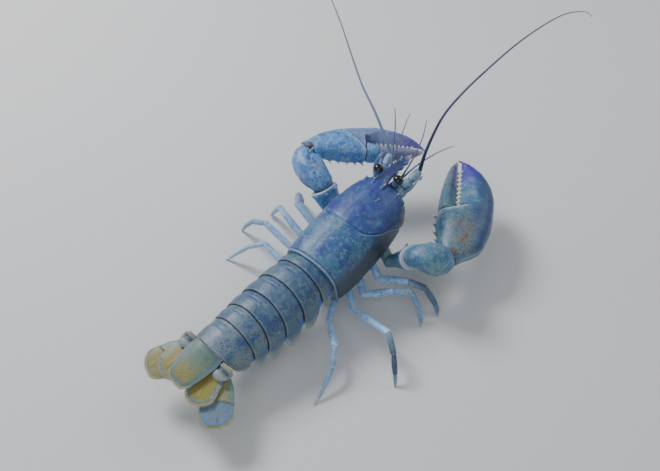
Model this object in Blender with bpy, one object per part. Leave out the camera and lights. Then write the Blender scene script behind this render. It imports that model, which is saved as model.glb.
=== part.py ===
"""American lobster, life size, as a still display model.

Every named body part is its own closed solid. Lengths below are in millimetres and are scaled to
metres when a mesh is made. The pose frame has +X towards the head, +Y to the animal's left and +Z up,
with the floor at z = 0 and the rear edge of the carapace above x = 0, y = 0.
"""
import math

import bmesh
import bpy
import numpy as np

MM = 0.001
GAP = 0.3

# Place of the finished model: the middle of its box goes over the world's origin.
BOX_MIDDLE_X = 120.04
BOX_MIDDLE_Y = 48.65

# The cephalothorax: its rear top edge stands this high, and the whole of it is tilted nose up.
TORSO_HEIGHT = 74.0
TORSO_PITCH = math.radians(13.0)
REAR_FACE = 2.0
FRONT_FACE = 106.0
BELLY = -46.0
WIDEST_LEVEL = -24.0
ROSTRUM_TIP = 146.0

# The abdomen: distances of the rear edge of each ring along the back, and its sections.
RING_EDGES = (0.0, 10.5, 31.0, 50.5, 69.0, 86.5, 113.0)
RING_HALF_WIDTHS = (26.5, 27.0, 28.8, 28.3, 26.8, 24.7, 21.6)
RING_HEIGHTS = (24.5, 24.8, 26.0, 25.0, 23.6, 21.2, 16.2)
PLEURA_DROPS = (8.0, 18.5, 18.5, 17.5, 16.0, 11.5)
PLEURA_SWEEP = (0.0, 2.0, 7.0, 10.0, 10.5, 5.0, -8.0)
SWEEP_DEPTH = 40.0
UNDERSIDE = 6.0
TAIL_SLOPES = (math.radians(6.0), math.radians(13.0))
TAIL_TURN = math.radians(5.5)
TAIL_ROLL = math.radians(6.0)
TAIL_LENGTH = 150.0
TELSON_LENGTH = 36.0

# The walking legs, from the rear pair forward: where each roots along the breastplate.
LEG_STATIONS = {5: 8.0, 4: 24.0, 3: 40.0, 2: 56.0}
CLAW_STATION = 74.0
PINCER_PAIRS = (2, 3)
BREAST_HALF_WIDTH = 12.5
BREAST_DEPTH = 10.0
COXA_LEVEL = -51.6

# Joints of each walking leg in the pose frame: end of the ischium, knee, wrist, ankle and toe.
LEG_JOINTS = {
    ("right", 5): ((-3, -30, 17), (-24, -56, 25), (-37, -65, 18), (-53, -69, 8), (-66, -71, 0)),
    ("right", 4): ((21, -38, 18), (13, -84, 31), (3, -98, 24), (-4, -106, 10), (-8, -110, 0)),
    ("right", 3): ((38, -35, 20), (50, -59, 33), (62, -70, 30), (63, -80, 13), (58, -87, 0)),
    ("right", 2): ((60, -35, 23), (69, -61, 31), (78, -74, 24), (80, -85, 9), (78, -91, 0)),
    ("left", 5): ((16, 34, 19), (16, 65, 33), (8, 78, 26), (2, 92, 10), (-2, 99, 0)),
    ("left", 4): ((36, 36, 17), (32, 79, 38), (32, 97, 28), (34, 110, 11), (34, 116, 0)),
    ("left", 3): ((50, 36, 19), (50, 70, 40), (60, 88, 32), (66, 102, 12), (68, 109, 0)),
    ("left", 2): ((66, 36, 22), (66, 70, 44), (80, 82, 38), (94, 92, 16), (100, 96, 0)),
}

# Joints of the two large legs: end of the ischium, elbow, wrist and tip of the claw.
CLAW_JOINTS = {
    "right": ((81, -30, 25), (77, -58, 55), (106, -75, 41), (209, -12, 50)),
    "left": ((84, 31, 27), (86, 55, 60), (103, 88, 75), (189, 15, 60)),
}

SHELL_BLUE = (0.075, 0.165, 0.235)
CLAW_BLUE = (0.070, 0.150, 0.250)
LEG_BLUE = (0.230, 0.340, 0.420)
TAIL_OCHRE = (0.380, 0.330, 0.150)
FEELER_BLUE = (0.050, 0.070, 0.120)
EYE_BLACK = (0.004, 0.004, 0.006)


def clear_scene():
    """Remove whatever the new file holds, and the collections with it."""
    for item in list(bpy.data.objects):
        bpy.data.objects.remove(item, do_unlink=True)
    for group in list(bpy.data.collections):
        bpy.data.collections.remove(group)


def make_collection(name):
    group = bpy.data.collections.new(name)
    bpy.context.scene.collection.children.link(group)
    return group


def make_material(name, colour, roughness):
    material = bpy.data.materials.new(name)
    material.use_nodes = True
    shader = material.node_tree.nodes["Principled BSDF"]
    shader.inputs["Base Color"].default_value = (*colour, 1.0)
    shader.inputs["Roughness"].default_value = roughness
    shader.inputs["Metallic"].default_value = 0.0
    return material


def unit(vector):
    vector = np.asarray(vector, float)
    return vector / np.linalg.norm(vector)


def profile(stations, values):
    """A smooth curve through a few values, flat beyond both ends and without overshoot."""
    x = np.asarray(stations, float)
    y = np.asarray(values, float)
    step = np.diff(x)
    slope = np.diff(y) / step
    tangent = np.zeros_like(y)
    for i in range(1, len(x) - 1):
        if slope[i - 1] * slope[i] > 0:
            tangent[i] = 2 * slope[i - 1] * slope[i] / (slope[i - 1] + slope[i])
    tangent[0] = slope[0]
    tangent[-1] = slope[-1]

    def value(at):
        at = min(max(at, x[0]), x[-1])
        i = min(int(np.searchsorted(x, at, side="right")) - 1, len(step) - 1)
        t = (at - x[i]) / step[i]
        h00 = (1 + 2 * t) * (1 - t) ** 2
        h10 = t * (1 - t) ** 2
        h01 = t * t * (3 - 2 * t)
        h11 = t * t * (t - 1)
        return float(h00 * y[i] + h10 * step[i] * tangent[i]
                     + h01 * y[i + 1] + h11 * step[i] * tangent[i + 1])

    return value


def torso(x, y, z):
    """A point of the tilted cephalothorax, in the pose frame."""
    c = math.cos(TORSO_PITCH)
    s = math.sin(TORSO_PITCH)
    return np.array([x * c - z * s, y, TORSO_HEIGHT + x * s + z * c])


TORSO_FORWARD = torso(1, 0, 0) - torso(0, 0, 0)


def place(point):
    """From the pose frame in millimetres to the world in metres."""
    return ((point[0] - BOX_MIDDLE_X) * MM, (point[1] - BOX_MIDDLE_Y) * MM, point[2] * MM)


def loft(rings):
    """One closed body through equal rings of points, with a flat face at both ends."""
    bm = bmesh.new()
    rows = [[bm.verts.new(place(point)) for point in ring] for ring in rings]
    count = len(rows[0])
    for lower, upper in zip(rows[:-1], rows[1:]):
        for i in range(count):
            j = (i + 1) % count
            bm.faces.new((lower[i], lower[j], upper[j], upper[i]))
    bm.faces.new(list(reversed(rows[0])))
    bm.faces.new(rows[-1])
    bm.normal_update()
    bmesh.ops.triangulate(bm, faces=bm.faces[:], quad_method="SHORT_EDGE", ngon_method="EAR_CLIP")
    bmesh.ops.recalc_face_normals(bm, faces=bm.faces[:])
    return bm


def add_object(name, bm, material, group):
    mesh = bpy.data.meshes.new(name)
    bm.to_mesh(mesh)
    bm.free()
    mesh.materials.append(material)
    mesh.shade_smooth()
    mesh.set_sharp_from_angle(angle=math.radians(50))
    item = bpy.data.objects.new(name, mesh)
    group.objects.link(item)
    return item


def keep_largest(mesh):
    """Drop every closed surface of the mesh but the one that reaches over the most space."""
    bm = bmesh.new()
    bm.from_mesh(mesh)
    unseen = set(bm.verts)
    shells = []
    while unseen:
        stack = [unseen.pop()]
        shell = set(stack)
        while stack:
            for edge in stack.pop().link_edges:
                for vert in edge.verts:
                    if vert in unseen:
                        unseen.remove(vert)
                        shell.add(vert)
                        stack.append(vert)
        shells.append(shell)
    if len(shells) > 1:
        largest = max(shells, key=lambda shell: box_diagonal(shell))
        doomed = [vert for vert in bm.verts if vert not in largest]
        bmesh.ops.delete(bm, geom=doomed, context="VERTS")
    bmesh.ops.triangulate(bm, faces=bm.faces[:])
    bm.to_mesh(mesh)
    bm.free()


def box_diagonal(verts):
    places = np.array([vert.co[:] for vert in verts])
    return float(np.linalg.norm(places.max(axis=0) - places.min(axis=0)))


def fuse(item, pieces, solver="MANIFOLD"):
    """Join closed pieces to an object, their roots sunk in it, so that it stays one body."""
    if not pieces:
        return item
    extras = make_collection(item.name + "_extras")
    for number, bm in enumerate(pieces):
        add_object(f"{item.name}_extra_{number}", bm, item.data.materials[0], extras)
    join = item.modifiers.new("join", "BOOLEAN")
    join.operation = "UNION"
    join.operand_type = "COLLECTION"
    join.collection = extras
    join.solver = solver
    graph = bpy.context.evaluated_depsgraph_get()
    mesh = bpy.data.meshes.new_from_object(item.evaluated_get(graph))
    item.modifiers.clear()
    for extra in list(extras.objects):
        bpy.data.objects.remove(extra, do_unlink=True)
    bpy.data.collections.remove(extras)
    keep_largest(mesh)
    mesh.shade_smooth()
    mesh.set_sharp_from_angle(angle=math.radians(50))
    item.data = mesh
    return item


def mitre(before, joint, after, shift):
    """The plane that two articles share at a joint, moved along the limb by half the gap."""
    normal = unit(unit(joint - before) + unit(after - joint))
    return joint + normal * shift, normal


def on_plane(point, direction, plane):
    """Slide a point along a direction until it lies on a plane."""
    origin, normal = plane
    return point + direction * (np.dot(origin - point, normal) / np.dot(direction, normal))


def oval(centre, wide, thick, half_width, half_thickness, sides, squareness=1.0):
    """A ring of points; a squareness under one fills its corners a little."""
    ring = []
    for i in range(sides):
        angle = 2 * math.pi * (i + 0.5) / sides
        c = math.cos(angle)
        s = math.sin(angle)
        across = math.copysign(abs(c) ** squareness, c) * half_width
        along = math.copysign(abs(s) ** squareness, s) * half_thickness
        ring.append(centre + wide * across + thick * along)
    return ring


def article(path, sizes, flat_of, start, end, sides=8, squareness=1.0):
    """The rings of one limb article: an oval tube along a few points, cut by two end planes.

    path holds points with a (half width, half thickness) each in sizes. flat_of is the direction in
    which the width is measured. start and end are planes as mitre gives them, or None.
    """
    path = [np.asarray(point, float) for point in path]
    rings = []
    last = len(path) - 1
    for i, point in enumerate(path):
        into = unit(path[i] - path[i - 1]) if i else unit(path[1] - path[0])
        out = unit(path[i + 1] - path[i]) if i < last else into
        along = unit(into + out)
        wide = unit(flat_of - np.dot(flat_of, along) * along)
        thick = np.cross(along, wide)
        ring = oval(point, wide, thick, sizes[i][0], sizes[i][1], sides, squareness)
        if i == 0 and start is not None:
            ring = [on_plane(p, along, start) for p in ring]
        if i == last and end is not None:
            ring = [on_plane(p, along, end) for p in ring]
        rings.append(ring)
    return rings


def between(a, b, share):
    return np.asarray(a, float) * (1 - share) + np.asarray(b, float) * share


def bezier(a, b, c, d, share):
    left = between(between(a, b, share), between(b, c, share), share)
    right = between(between(b, c, share), between(c, d, share), share)
    return between(left, right, share)


def spine(foot, direction, length, radius, sunk=2.0, sides=5, blunt=0.12):
    """A tapered thorn: its foot lies on a surface and its root is sunk below it."""
    along = unit(direction)
    foot = np.asarray(foot, float)
    helper = np.array([0.0, 0.0, 1.0]) if abs(along[2]) < 0.9 else np.array([1.0, 0.0, 0.0])
    wide = unit(np.cross(along, helper))
    thick = np.cross(along, wide)
    root = foot - along * sunk
    tip = foot + along * length
    return loft([oval(root, wide, thick, radius, radius, sides),
                 oval(tip, wide, thick, radius * blunt, radius * blunt, sides)])


# Carapace

HALF_WIDTH = profile((0, 10, 30, 50, 70, 90, 104), (26.5, 28.5, 30.0, 30.0, 29.4, 28.0, 23.0))
SHOULDER = profile((0, 55, 78, 94, 104), (0.92, 0.95, 1.25, 1.75, 2.2))
TOP_LEVEL = profile((0, 10, 30, 50, 70, 90, 104), (-1.0, 0.0, 1.0, 0.5, 0.0, -1.6, -3.6))
LIP_LEVEL = profile((0, 10, 30, 60, 80, 92, 104), (-49.0, -51.5, -53.0, -53.0, -51.0, -47.5, -42.0))
BELLY_LEVEL = profile((0, 86, 104), (BELLY, BELLY, -38.5))
UPPER_STEPS = 6
GROOVE_DEPTH = 1.5

# Paired spines of the shell: station, angle down from the back, length and root radius.
CARAPACE_SPINES = ((98, 26, 5.0, 1.6), (101, 58, 4.5, 1.7), (99, 84, 3.5, 1.5), (84, 30, 2.6, 1.2))


def groove_line(depth):
    """How far forward the cervical groove runs at a depth below the back."""
    return profile((0, 5, 12, 31, 45, 54), (50, 51, 58, 82, 92, 95))(depth)


def front_line(depth):
    """The front margin of the carapace at a depth below the back."""
    return profile((0, 10, 40, 54), (104.0, 104.0, 103.5, 100.0))(depth)


def carapace_row(share_to_groove, share_to_front, sink):
    """One closed ring of the shell; its points lie along the groove where they are near it."""
    half = []
    steps = []
    for i in range(UPPER_STEPS + 1):
        angle = 0.5 * math.pi * i / UPPER_STEPS
        steps.append(("over", angle))
    steps += [("side", 0.5), ("side", 0.92), ("lip", 1.0), ("under", 0.80), ("under", 0.40)]
    for kind, amount in steps:
        x = 0.0
        point = (0.0, 0.0)
        depth = 20.0
        for _ in range(3):
            groove = groove_line(depth)
            front = front_line(depth)
            x = REAR_FACE + (groove - REAR_FACE) * share_to_groove
            x = x + (front - groove) * share_to_front
            point = shell_section(x, kind, amount)
            depth = -point[1]
        scale = 1.0
        if sink:
            scale = 1.0 - sink / 26.0
        y = point[0] * scale if kind != "under" else point[0]
        z = point[1]
        if kind in ("over", "side"):
            z = WIDEST_LEVEL + (z - WIDEST_LEVEL) * scale
        half.append((x, y, z))
    ring = [torso(x, y, z) for x, y, z in half]
    bottom = (half[-1][0], 0.0, half[-1][2])
    ring.append(torso(*bottom))
    ring += [torso(x, -y, z) for x, y, z in reversed(half[1:])]
    return ring


def shell_section(x, kind, amount):
    """Half width and level of the shell's surface at a station, for a place round its section."""
    width = HALF_WIDTH(x)
    top = TOP_LEVEL(x)
    lip = LIP_LEVEL(x)
    if kind == "over":
        return (width * math.sin(amount) ** SHOULDER(x),
                WIDEST_LEVEL + (top - WIDEST_LEVEL) * math.cos(amount) ** 0.95)
    if kind == "side":
        fall = math.sin(amount * math.pi / 2)
        return width * (1 - 0.10 * amount ** 2), WIDEST_LEVEL + (lip - WIDEST_LEVEL) * fall ** 1.2
    if kind == "lip":
        return width * 0.90 - 1.6, lip
    return width * amount, BELLY_LEVEL(x)


def build_carapace(material, group):
    rows = []
    for share, sink in ((0.0, 0.0), (0.06, 0.0), (0.075, 0.8), (0.10, 0.0), (0.28, 0.0), (0.5, 0.0),
                        (0.72, 0.0), (0.9, 0.0), (0.96, 0.0)):
        rows.append(carapace_row(share, 0.0, sink))
    rows.append(carapace_row(1.0, 0.0, GROOVE_DEPTH))
    rows.append(carapace_row(1.0, 0.06, 0.0))
    for share in (0.25, 0.5, 0.75, 0.92, 1.0):
        rows.append(carapace_row(1.0, share, 0.0))
    middle = torso(100, 0, WIDEST_LEVEL)
    count = len(rows[-1])
    face = []
    for i, point in enumerate(rows[-1]):
        inward = 0.97 if min(i, count - i) <= 1 else 0.86
        face.append(on_plane(between(middle, point, inward), TORSO_FORWARD,
                             (torso(FRONT_FACE, 0, 0), TORSO_FORWARD)))
    rows.append(face)
    item = add_object("carapace", loft(rows), material, group)
    thorns = []
    for sign in (1.0, -1.0):
        for x, angle, length, radius in CARAPACE_SPINES:
            y, z = shell_section(x, "over", math.radians(angle))
            way = torso(1.0, sign * 0.25, 0.35) - torso(0, 0, 0)
            thorns.append(spine(torso(x, sign * y, z - 0.4), way, length, radius, sunk=3.0))
    return fuse(item, thorns)


ROSTRUM_WIDTH = profile((106, 113, 124, 134, 141, ROSTRUM_TIP), (6.6, 5.2, 4.8, 4.0, 2.4, 0.5))
ROSTRUM_TOP = profile((106, 112, 125, ROSTRUM_TIP), (-4.0, -5.0, -8.0, -13.0))
ROSTRUM_THICKNESS = profile((106, 124, 140, ROSTRUM_TIP), (7.0, 5.0, 3.0, 0.9))
ROSTRUM_SPINES = ((119, 4.2), (127, 4.6), (135, 4.2))


def build_rostrum(material, group):
    """The beak between the eyes: a hollowed blade with three thorns on each edge."""
    rings = []
    for x in (FRONT_FACE + GAP, 110, 113, 119, 125, 131, 137, 142, ROSTRUM_TIP):
        w = ROSTRUM_WIDTH(x)
        t = ROSTRUM_TOP(x)
        d = ROSTRUM_THICKNESS(x)
        outline = ((0, -0.10 * w), (0.55 * w, 0.06 * w), (w, -0.15 * d), (0.75 * w, -0.62 * d),
                   (0, -d), (-0.75 * w, -0.62 * d), (-w, -0.15 * d), (-0.55 * w, 0.06 * w))
        rings.append([torso(x, y, t + z) for y, z in outline])
    item = add_object("rostrum", loft(rings), material, group)
    thorns = []
    for x, length in ROSTRUM_SPINES:
        for sign in (1.0, -1.0):
            foot = torso(x, sign * (ROSTRUM_WIDTH(x) - 0.5), ROSTRUM_TOP(x) - 0.18 * ROSTRUM_THICKNESS(x))
            way = torso(1.0, sign * 0.42, 0.18) - torso(0, 0, 0)
            thorns.append(spine(foot, way, length, 1.15))
    foot = torso(132, 0, ROSTRUM_TOP(132) - 0.9 * ROSTRUM_THICKNESS(132))
    thorns.append(spine(foot, torso(1, 0, -0.45) - torso(0, 0, 0), 3.0, 1.0, sunk=1.5))
    return fuse(item, thorns)


def build_sternum(material, group):
    """The breastplate between the legs, under the flat belly of the carapace."""
    w = BREAST_HALF_WIDTH
    top = BELLY - GAP
    low = top - BREAST_DEPTH
    rings = []
    for x, narrow in ((3.0, 1.5), (5.0, 0.0), (81.0, 0.0), (84.0, 1.5)):
        outline = ((w, top), (w, low + 1.5), (w - 3.0, low + narrow), (3.0 - w, low + narrow),
                   (-w, low + 1.5), (-w, top))
        rings.append([torso(x, y, z) for y, z in outline])
    return add_object("sternum", loft(rings), material, group)


def build_eye(side, material, group):
    """A short stalk that leaves the front face and ends in a round eye."""
    sign = 1.0 if side == "left" else -1.0
    root = torso(FRONT_FACE + GAP, sign * 8.6, -11.0)
    centre = torso(112.8, sign * 11.2, -6.4)
    along = unit(centre - root)
    length = float(np.linalg.norm(centre - root))
    radius = 4.8
    path = [root, root + along * (length - 4.3)]
    sizes = [(2.6, 2.6), (3.0, 3.0)]
    for angle in (130, 105, 75, 45, 18):
        a = math.radians(angle)
        path.append(centre + along * radius * math.cos(a))
        sizes.append((radius * math.sin(a), radius * math.sin(a)))
    start = (root, TORSO_FORWARD)
    rings = article(path, sizes, np.array([0.0, 0.0, 1.0]), start, None, sides=10)
    return add_object(f"eye_{side}", loft(rings), material, group)


# Feelers

PEDUNCLE_JOINTS = ((12.0, -22.5), (15.0, -17.5), (16.5, -14.5))
PEDUNCLE_STATIONS = (FRONT_FACE + GAP, 124.0, 136.0)
ANTENNAL_SCALE = ((110.0, 16.0, -20.0), (117.0, 20.5, -17.0), (124.0, 22.0, -14.5), (131.0, 22.0, -12.0))
FLAGELLUM_ENDS = {
    "right": ((144, -17.0, 113), (161, -18.2, 138), (186, -20.0, 151), (222, -22.5, 160),
              (262, -25.0, 166), (302, -28.0, 167), (338, -30.5, 162), (372, -33.0, 148),
              (390, -34, 134)),
    "left": ((139, 25, 101), (146, 40, 111), (153, 54, 117), (164, 76, 124), (181, 104, 136),
             (200, 134, 148), (216, 160, 155), (232, 186, 158), (246, 208, 156)),
}


def smooth_path(points, steps):
    """More points on a smooth curve through a few."""
    points = [np.asarray(point, float) for point in points]
    points = [2 * points[0] - points[1]] + points + [2 * points[-1] - points[-2]]
    result = []
    for i in range(1, len(points) - 2):
        a, b, c, d = points[i - 1:i + 3]
        for k in range(steps):
            t = k / steps
            result.append(0.5 * (2 * b + (c - a) * t + (2 * a - 5 * b + 4 * c - d) * t * t
                                 + (3 * b - a - 3 * c + d) * t ** 3))
    result.append(points[-2])
    return result


def peduncle_path(side):
    sign = 1.0 if side == "left" else -1.0
    return [torso(x, sign * y, z) for x, (y, z) in zip(PEDUNCLE_STATIONS, PEDUNCLE_JOINTS)]


def build_antenna(side, base_material, feeler_material, group):
    sign = 1.0 if side == "left" else -1.0
    root, middle, end = peduncle_path(side)
    last = unit(end - middle)
    upright = np.array([0.0, 0.0, 1.0])
    path = [root, between(root, middle, 0.45), middle, between(middle, end, 0.5), end]
    sizes = [(5.4, 5.0), (5.8, 5.2), (4.6, 4.2), (4.0, 3.8), (3.4, 3.4)]
    base_end = (end - last * GAP / 2, last)
    rings = article(path, sizes, upright, (root, TORSO_FORWARD), base_end)
    base = add_object(f"antenna_base_{side}", loft(rings), base_material, group)
    scale_path = [torso(x, sign * y, z) for x, y, z in ANTENNAL_SCALE]
    scale_rings = article(scale_path, [(2.5, 1.2), (3.6, 0.9), (3.0, 0.7), (0.5, 0.35)],
                          np.array([0.0, 0.3 * sign, 1.0]), None, None, sides=6)
    tip_way = torso(1, sign * 0.1, 0.15) - torso(0, 0, 0)
    thorns = [spine(torso(129.5, sign * 23.2, -12.6), tip_way, 4.0, 1.0)]
    for x, y, z in ((117, 18.6, -14.6), (124, 18.4, -12.4)):
        thorns.append(spine(torso(x, sign * y, z), torso(1, sign * 0.5, 0.5) - torso(0, 0, 0), 2.6, 1.0))
    fuse(base, [loft(scale_rings)] + thorns)
    route = smooth_path([end + last * GAP / 2] + list(FLAGELLUM_ENDS[side]), 3)
    steps = [np.linalg.norm(b - a) for a, b in zip(route, route[1:])]
    lengths = np.concatenate([[0.0], np.cumsum(steps)])
    thin = profile((0.0, 0.06, 0.3, 0.7, 1.0), (1.9, 1.45, 1.0, 0.62, 0.3))
    radii = [thin(length / lengths[-1]) for length in lengths]
    rings = article(route, [(r, r) for r in radii], upright + sign * np.array([0.3, 0.9, 0]),
                    (end + last * GAP / 2, last), None, sides=6)
    add_object(f"antenna_{side}", loft(rings), feeler_material, group)


ANTENNULE_TIPS = {
    "right": (((16, -6, 9), (34, -13, 15), (50, -20, 17)), ((12, -3, 18), (22, -4, 36), (27, -3, 52))),
    "left": (((7, 3, 24), (9, 4, 46), (8, 5, 66)), ((16, 5, 16), (30, 9, 28), (42, 12, 36))),
}


def build_antennule(side, material, group):
    """The small inner feeler: a stalk under the beak that carries two fine whips."""
    sign = 1.0 if side == "left" else -1.0
    root = torso(FRONT_FACE + GAP, sign * 4.2, -16.5)
    end = torso(122, sign * 6.6, -16.5)
    path = [root, between(root, end, 0.4), between(root, end, 0.8), end]
    rings = article(path, [(2.6, 2.4), (2.9, 2.6), (2.4, 2.2), (2.0, 1.8)], np.array([0.0, 1.0, 0.0]),
                    (root, TORSO_FORWARD), None, sides=8)
    item = add_object(f"antennule_{side}", loft(rings), material, group)
    whips = []
    for number, offsets in enumerate(ANTENNULE_TIPS[side]):
        shift = np.array([-2.0, 0.9 if number else -0.9, 0.0])
        route = smooth_path([end + shift, end + shift + np.array([4.0, sign * 0.8, 1.5])]
                            + [end + np.array(offset, float) for offset in offsets], 2)
        count = len(route) - 1
        radii = [0.95 - 0.6 * (i / count) for i in range(count + 1)]
        whips.append(loft(article(route, [(r, r) for r in radii], np.array([0.2, 1.0, 0.1]),
                                  None, None, sides=5)))
    return fuse(item, whips)


MOUTH_LEG_LINE = ((84.0 + GAP, 6.5, -51.5), (96.0, 7.0, -51.5), (108.0, 6.2, -48.0), (117.0, 5.6, -42.0),
                  (124.0, 5.0, -40.0), (131.0, 4.6, -42.5))
MOUTH_LEG_SIZES = ((4.0, 3.6), (4.4, 3.6), (3.8, 3.0), (2.9, 2.5), (2.2, 2.0), (0.6, 0.6))


def build_maxilliped(side, material, group):
    """The outer mouth leg, folded forward under the head."""
    sign = 1.0 if side == "left" else -1.0
    path = [torso(x, sign * y, z) for x, y, z in MOUTH_LEG_LINE]
    rings = article(path, MOUTH_LEG_SIZES, np.array([0.0, 1.0, 0.0]), (path[0], TORSO_FORWARD), None)
    return add_object(f"maxilliped_{side}", loft(rings), material, group)


# Abdomen

def tail_frame(distance):
    """The top line of the abdomen: a point, the way along it, its left and its up."""
    steps = 40
    point = torso(REAR_FACE, 0.0, TOP_LEVEL(REAR_FACE))
    ds = distance / steps
    for i in range(steps):
        point = point + tail_direction((i + 0.5) * ds) * ds
    along = tail_direction(distance)
    left = unit(np.cross(along, (0.0, 0.0, 1.0)))
    if left[1] < 0:
        left = -left
    up = unit(np.cross(left, along))
    if up[2] < 0:
        up = -up
    roll = TAIL_ROLL * distance / TAIL_LENGTH
    c = math.cos(roll)
    s = math.sin(roll)
    return point, along, c * left + s * up, c * up - s * left


def tail_direction(distance):
    share = distance / TAIL_LENGTH
    slope = TAIL_SLOPES[0] + (TAIL_SLOPES[1] - TAIL_SLOPES[0]) * share
    turn = TAIL_TURN * share
    level = math.cos(slope)
    return np.array([-level * math.cos(turn), level * math.sin(turn), -math.sin(slope)])


def ring_outline(width, height, drop, flare):
    """The section of one abdominal ring: an arch, side plates that hang, and a flat underside."""
    outline = []
    for i in range(13):
        angle = math.pi * i / 12
        outline.append((width * math.cos(angle), height * math.sin(angle)))
    inside = UNDERSIDE + 0.45 * (drop - UNDERSIDE)
    outline.append((-width - flare, -0.55 * drop))
    outline.append((-width - flare + 0.8, -drop))
    outline.append((3.2 - width, -inside))
    outline.append((6.0 - width, -UNDERSIDE))
    outline.append((0.0, -UNDERSIDE - 0.4))
    outline.append((width - 6.0, -UNDERSIDE))
    outline.append((width - 3.2, -inside))
    outline.append((width + flare - 0.8, -drop))
    outline.append((width + flare, -0.55 * drop))
    return outline


def build_abdomen(material, group):
    width_at = profile(RING_EDGES, RING_HALF_WIDTHS)
    height_at = profile(RING_EDGES, RING_HEIGHTS)
    lobe = profile((0.0, 0.12, 0.35, 0.62, 0.86, 1.0), (0.22, 0.45, 0.85, 1.0, 0.80, 0.30))
    swell = profile((0.0, 0.10, 0.30, 0.70, 1.0), (0.955, 0.965, 0.99, 1.0, 1.0))
    for number in range(1, 7):
        start = RING_EDGES[number - 1]
        end = RING_EDGES[number]
        rings = []
        shares = (0.0, 0.14, 0.35, 0.62, 0.84, 1.0)
        for share in shares:
            distance = start + GAP / 2 + (end - start - GAP) * share
            point, along, left, up = tail_frame(distance)
            scale = swell(share)
            width = width_at(distance) * scale
            height = height_at(distance)
            drop = max(PLEURA_DROPS[number - 1] * lobe(share), UNDERSIDE + 1.0)
            sweep = PLEURA_SWEEP[number - 1] * (1 - share) + PLEURA_SWEEP[number] * share
            ring = []
            for a, b in ring_outline(width, height, drop, 1.8 * lobe(share)):
                depth = height - (b if b < 0 else b * scale)
                ring.append(point + left * a - up * depth + along * (sweep * depth / SWEEP_DEPTH))
            if number == 1 and share == 0.0:
                face = (torso(REAR_FACE - GAP, 0, 0), TORSO_FORWARD)
                ring = [on_plane(p, along, face) for p in ring]
            rings.append(ring)
        item = add_object(f"abdomen_{number}", loft(rings), material, group)
        if 2 <= number <= 5:
            sweep = 0.5 * (PLEURA_SWEEP[number - 1] + PLEURA_SWEEP[number]) * 27.5 / SWEEP_DEPTH
            fuse(item, swimmerets(0.5 * (start + end), width_at(end), sweep))


def swimmerets(distance, width, sweep):
    """A pair of thin paddles that hang back under a ring, their roots sunk in its underside."""
    point, along, left, up = tail_frame(distance)
    paddles = []
    for sign in (1.0, -1.0):
        root = point - up * 27.5 + left * sign * (width * 0.42) + along * sweep
        fork = root - up * 6.0 + along * 1.0
        stalk = article([root, fork], [(2.4, 1.3), (2.2, 1.1)], left, None, None, sides=6)
        paddles.append(loft(stalk))
        for spread in (2.6, -1.9):
            start = fork + up * 1.6
            path = [start, start - up * 6.5 + along * 2.5 + left * sign * spread,
                    start - up * 13 + along * 7.5 + left * sign * spread * 1.4]
            blade = article(path, [(1.2, 0.7), (2.2, 0.6), (0.7, 0.45)], left, None, None, sides=6)
            paddles.append(loft(blade))
    return paddles


SEAM_START = 0.4


def vane(root, along, left, up, length, widths, thicknesses, swing, drop, seam=None):
    """A flat tail plate: swing turns it outward in its own plane, drop bends its end down.

    A seam is the share of the length at which a step crosses the upper face.
    """
    outer = profile(widths[0], widths[1])
    inner = profile(widths[0], widths[2])
    rings = []
    centre = root
    before = 0.0
    shares = [0.0, 0.1, 0.22, 0.42, 0.63, 0.82, 0.94, 1.0]
    if seam is not None:
        shares = sorted(shares + [seam, seam + 0.025])
    for share in shares:
        turn = swing * min(share / 0.22, 1.0)
        forward = along * math.cos(turn) + left * math.sin(turn)
        across = left * math.cos(turn) - along * math.sin(turn)
        centre = centre + forward * (length * (share - before)) - up * (drop * (share ** 2 - before ** 2))
        before = share
        a = outer(share)
        b = inner(share)
        t = thicknesses[0] + (thicknesses[1] - thicknesses[0]) * share
        if seam is not None:
            grown = max(0.0, share - SEAM_START) / (seam - SEAM_START)
            t += (0.6 if share <= seam else -0.3) * grown * (1 - share) / (1 - seam)
        ring = []
        for place_across, rise in ((a, 0.0), (0.5 * (a + 0.1 * (a + b)), 0.7), (0.5 * (a + b), 1.0),
                                   (0.5 * (b + 0.1 * (a + b)), 0.7), (b, 0.0)):
            ring.append(centre + across * place_across + up * (0.45 + rise * t))
        for place_across, rise in ((b, 0.0), (0.5 * (a + b), 0.35), (a, 0.0)):
            ring.append(centre + across * place_across - up * (0.45 + rise * t))
        rings.append(ring)
    return rings


VANE_STATIONS = (0.0, 0.2, 0.5, 0.8, 0.93, 1.0)
ENDOPOD_LEAF = ((4.2, 10.0, 14.0, 13.5, 9.5, 4.2), (3.8, 8.4, 10.6, 10.6, 8.0, 4.0))
EXOPOD_LEAF = ((4.0, 10.5, 15.5, 16.0, 12.5, 5.6), (3.6, 8.0, 11.0, 11.5, 9.0, 4.4))
ENDOPOD_LENGTH = 38.0
EXOPOD_LENGTH = {"left": 46.0, "right": 51.0}
UROPOD_SWINGS = {"left": (0.14, 0.34), "right": (-0.30, -0.74)}
TELSON_THICKNESS = (2.6, 0.5)
ENDOPOD_THICKNESS = (1.6, 0.4)
EXOPOD_THICKNESS = (2.2, 0.4)
EXOPOD_SEAM = 0.66
VANE_DROPS = (1.5, 1.5, 2.0)
TELSON_DEPTH = 4.2
ENDOPOD_DEPTH = 9.4
ENDOPOD_ASIDE = 11.5
EXOPOD_DEPTH = 13.8
EXOPOD_ASIDE = 14.5
BOSS_DEPTH = 7.0
BOSS_ASIDE = 21.0
BOSS_STEPS = (0.0, 2.5, 5.5, 8.5, 10.0)
BOSS_SIZES = ((6.2, 3.0), (7.6, 3.5), (7.2, 3.4), (5.0, 2.6), (2.0, 1.2))


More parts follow.
